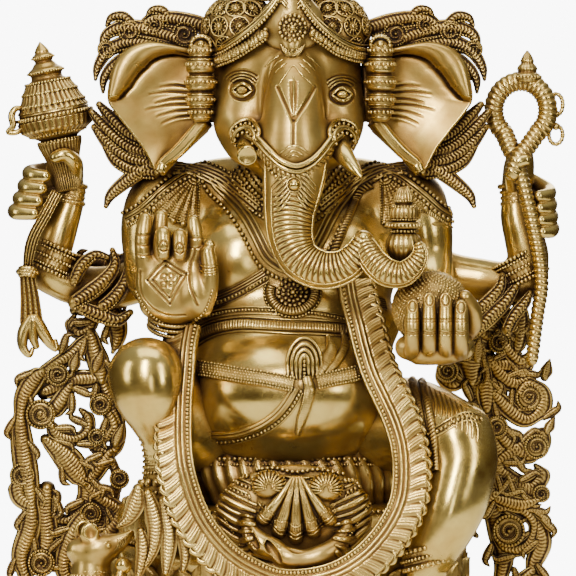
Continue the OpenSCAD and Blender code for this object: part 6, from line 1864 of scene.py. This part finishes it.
mouse_parts.append(hoop((-146, -87.2, 154), (0.3, -1, 0.1), 3.6, 3.2, 0.8))
mouse_parts.append(beads([(-127.4, -80, 161.6)], 2.6, FINE_BEAD))
for _k in range(4):
    mouse_parts.append(mouse_skin.line([[-141 + 2 * _k, 150 + _k, 0.4], [-138 + 2 * _k, 155 + _k, 0.9],
            [-139 + 2 * _k, 160 + _k * 0.6, 0.4]], 0.7, 0.1, 0.8))
mouse_parts.append(rod([(-172, -46, 62, 1), (-186, -40, 55, 1), (-198, -52, 51, 1), (-200, -72, 50, 0.9),
        (-192, -92, 49, 0.8), (-178, -104, 49, 0.5)],
              4.2, 1.0, 14, relief=lambda s, a: 0.4 * np.cos(s * 1.7)))
mouse_parts.append(beads([(-134, -92, 138)], 7.0, FINE_BEAD))
polished("mouse_casting", mouse_parts, "mouse", mat=WORKED)


# ================================================================ the worked back
def behind(part):
    """Turns a mesh half round, so that what is laid on its front ends up on its back."""
    return part[0] * np.array([-1.0, -1.0, 1.0]), part[1]


REAR, NAPE = Skin(behind(TORSO)), Skin(behind(HEAD))
back_parts = []
for _dz, _r in ((0, 1.9), (-9, 1.9)):
    back_parts.append(REAR.beads([[-78, 326 + _dz], [0, 322 + _dz], [78, 326 + _dz]], _r, 1.05, 0.8))
back_parts.append(REAR.strip([[-78, 321.5], [0, 317.5], [78, 321.5]], 6, lambda s,
        u: 1.2 + 0.7 * np.abs(np.cos(s * 1.3)), 0.2, 10, 0.7, 1.5))
for _k, _drop in enumerate((0, 9, 18)):
    _rows = [[-70 + 3 * _k, 450 - _drop * 0.6], [-40, 432 - _drop], [0, 420 - _drop], [40, 432 - _drop],
            [70 - 3 * _k, 450 - _drop * 0.6]]
    back_parts.append(REAR.beads(_rows, 2.4 - 0.3 * _k, 1.05, 0.8))
    back_parts.append(REAR.line(offset(_rows, 4.2), 1.2, 0.5, 1.2))
for _k in range(9):
    _w = 1 - abs(_k - 4) / 5
    back_parts.append(REAR.beads([[-12 + 3 * _k, 398], [-12 + 3 * _k, 392 - 9 * _w],
            [-12 + 3 * _k, 384 - 20 * _w]], 1.7, 1.05, 0.6))
for _d in (-5, 0, 5):
    _rows = offset([[66, 446], [40, 410], [6, 372], [-30, 344], [-66, 326]], _d)
    back_parts.append(REAR.line(_rows, 1.7, 0.6, 1.2))
    if _d:
        back_parts.append(REAR.beads(offset(_rows, 2.5), 1.2, 1.1, 0.8))
chased("back_ornament", [behind(p) for p in back_parts], "torso", mat=AGED)

_hr = []
for _k in range(-9, 10):
    _x = 5.0 * _k
    _hr.append(NAPE.line([[_x * 0.55, 574, 0.6], [_x * 0.92, 552, 1], [_x, 524, 1.1], [_x * 0.94, 498, 1],
            [_x * 0.78, 480, 0.6]], 2.5, 0.2, 1.2,
                         relief=lambda s, a: 0.4 * np.abs(np.cos(s * 1.1))))
for _z, _r in ((560, 2.6), (486, 2.2)):
    _hr.append(NAPE.beads([[-44, _z - 3], [0, _z + 2], [44, _z - 3]], _r, 1.05, 2.2))
_wheel = disc(0, 524, 30, 36, 4)
for _k in range(16):
    _t = 2 * math.pi * _k / 16
    _wheel += vine([[7 * math.cos(_t), 524 + 7 * math.sin(_t), 3],
            [16 * math.cos(_t), 524 + 16 * math.sin(_t), 8],
                    [27 * math.cos(_t), 524 + 27 * math.sin(_t), 3]], 37, 3.4, 2.4, 2.4, 0.5, 0.9, 9, 0.6)
    _wheel.append(beads([(32 * math.cos(_t), 37, 524 + 32 * math.sin(_t))], 2.8, FINE_BEAD))
_wheel.append(rod([(0, 20, 524, 1), (0, 36, 524, 1)], 9, 1.0, 20))
chased("nape_wheel_and_hair", [behind(p) for p in _hr] + _wheel, "head", mat=AGED)


# ================================================================ stage, camera and light
floor_mesh = bpy.data.meshes.new("floor")
FLOOR_RADIUS = 0.78
FLOOR_SIDES = 96
_a = np.linspace(0, 2 * math.pi, FLOOR_SIDES, endpoint=False)
floor_mesh.from_pydata([(FLOOR_RADIUS * math.cos(t), FLOOR_RADIUS * math.sin(t), 0) for t in _a], [],
        [list(range(FLOOR_SIDES))])
floor = bpy.data.objects.new("floor", floor_mesh)
bpy.context.collection.objects.link(floor)
pale = bpy.data.materials.new("pale_floor")
pale.use_nodes = True
pale.node_tree.nodes["Principled BSDF"].inputs["Base Color"].default_value = (0.9, 0.9, 0.9, 1)
pale.node_tree.nodes["Principled BSDF"].inputs["Roughness"].default_value = 0.8
floor_mesh.materials.append(pale)

BACKDROP_STRENGTH = 9.0
SKY_STRENGTH = 0.5
world = bpy.data.worlds.new("studio")
bpy.context.scene.world = world
world.use_nodes = True
nt = world.node_tree
nt.nodes.clear()
world_output = nt.nodes.new("ShaderNodeOutputWorld")
seen = nt.nodes.new("ShaderNodeBackground")
lit = nt.nodes.new("ShaderNodeBackground")
mix = nt.nodes.new("ShaderNodeMixShader")
path = nt.nodes.new("ShaderNodeLightPath")
sky_place = nt.nodes.new("ShaderNodeTexCoord")
sky_axes = nt.nodes.new("ShaderNodeSeparateXYZ")
seen.inputs[0].default_value = (1, 1, 1, 1)
seen.inputs[1].default_value = BACKDROP_STRENGTH
sky = ramp(nt, [(0.0, (0.16, 0.12, 0.08)), (0.40, (0.10, 0.065, 0.035)), (0.56, (0.13, 0.10, 0.07)),
        (0.74, (0.45, 0.43, 0.40)),
                (1.0, (0.9, 0.9, 0.9))])
nt.links.new(sky_place.outputs["Generated"], sky_axes.inputs[0])
half = nt.nodes.new("ShaderNodeMath")
half.operation = "MULTIPLY_ADD"
half.inputs[1].default_value = 0.5
half.inputs[2].default_value = 0.5
nt.links.new(sky_axes.outputs["Z"], half.inputs[0])
nt.links.new(half.outputs[0], sky.inputs[0])
nt.links.new(sky.outputs[0], lit.inputs[0])
lit.inputs[1].default_value = SKY_STRENGTH
nt.links.new(path.outputs["Is Camera Ray"], mix.inputs[0])
nt.links.new(lit.outputs[0], mix.inputs[1])
nt.links.new(seen.outputs[0], mix.inputs[2])
nt.links.new(mix.outputs[0], world_output.inputs[0])


def lamp(name, where, size, power, colour=(1, 1, 1), aim=(0, 0, 0.36)):
    d = bpy.data.lights.new(name, "AREA")
    d.shape = "RECTANGLE"
    d.size, d.size_y = size
    d.energy = power
    d.color = colour
    o = bpy.data.objects.new(name, d)
    bpy.context.collection.objects.link(o)
    o.location = where
    o.rotation_euler = (Vector(aim) - Vector(where)).to_track_quat("-Z", "Y").to_euler()


WARM = (1.0, 0.965, 0.84)
lamp("key_softbox", (-0.42, -1.9, 1.25), (0.34, 1.3), 52, WARM)
lamp("fill_softbox", (1.5, -1.5, 0.9), (0.35, 1.3), 15, WARM)
lamp("side_softbox", (-2.0, -0.9, 0.8), (0.5, 1.4), 12, WARM)
lamp("top_softbox", (0.0, -0.4, 1.9), (1.6, 0.9), 14, WARM)
lamp("front_strip", (0.3, -2.6, 0.2), (0.25, 0.9), 4, WARM)
lamp("back_softbox", (0.4, 1.9, 1.3), (1.4, 1.2), 26, WARM)

cam_data = bpy.data.cameras.new("camera")
cam = bpy.data.objects.new("camera", cam_data)
bpy.context.collection.objects.link(cam)
cam.location = CAMERA_AT * MM
cam.rotation_euler = (Vector(AIM * MM) - cam.location).to_track_quat("-Z", "Y").to_euler()
cam_data.sensor_width = 36.0
cam_data.lens = cam_data.sensor_width * CAMERA_REACH / VIEW_WIDTH
cam_data.clip_start, cam_data.clip_end = 0.05, 30.0
bpy.context.scene.camera = cam
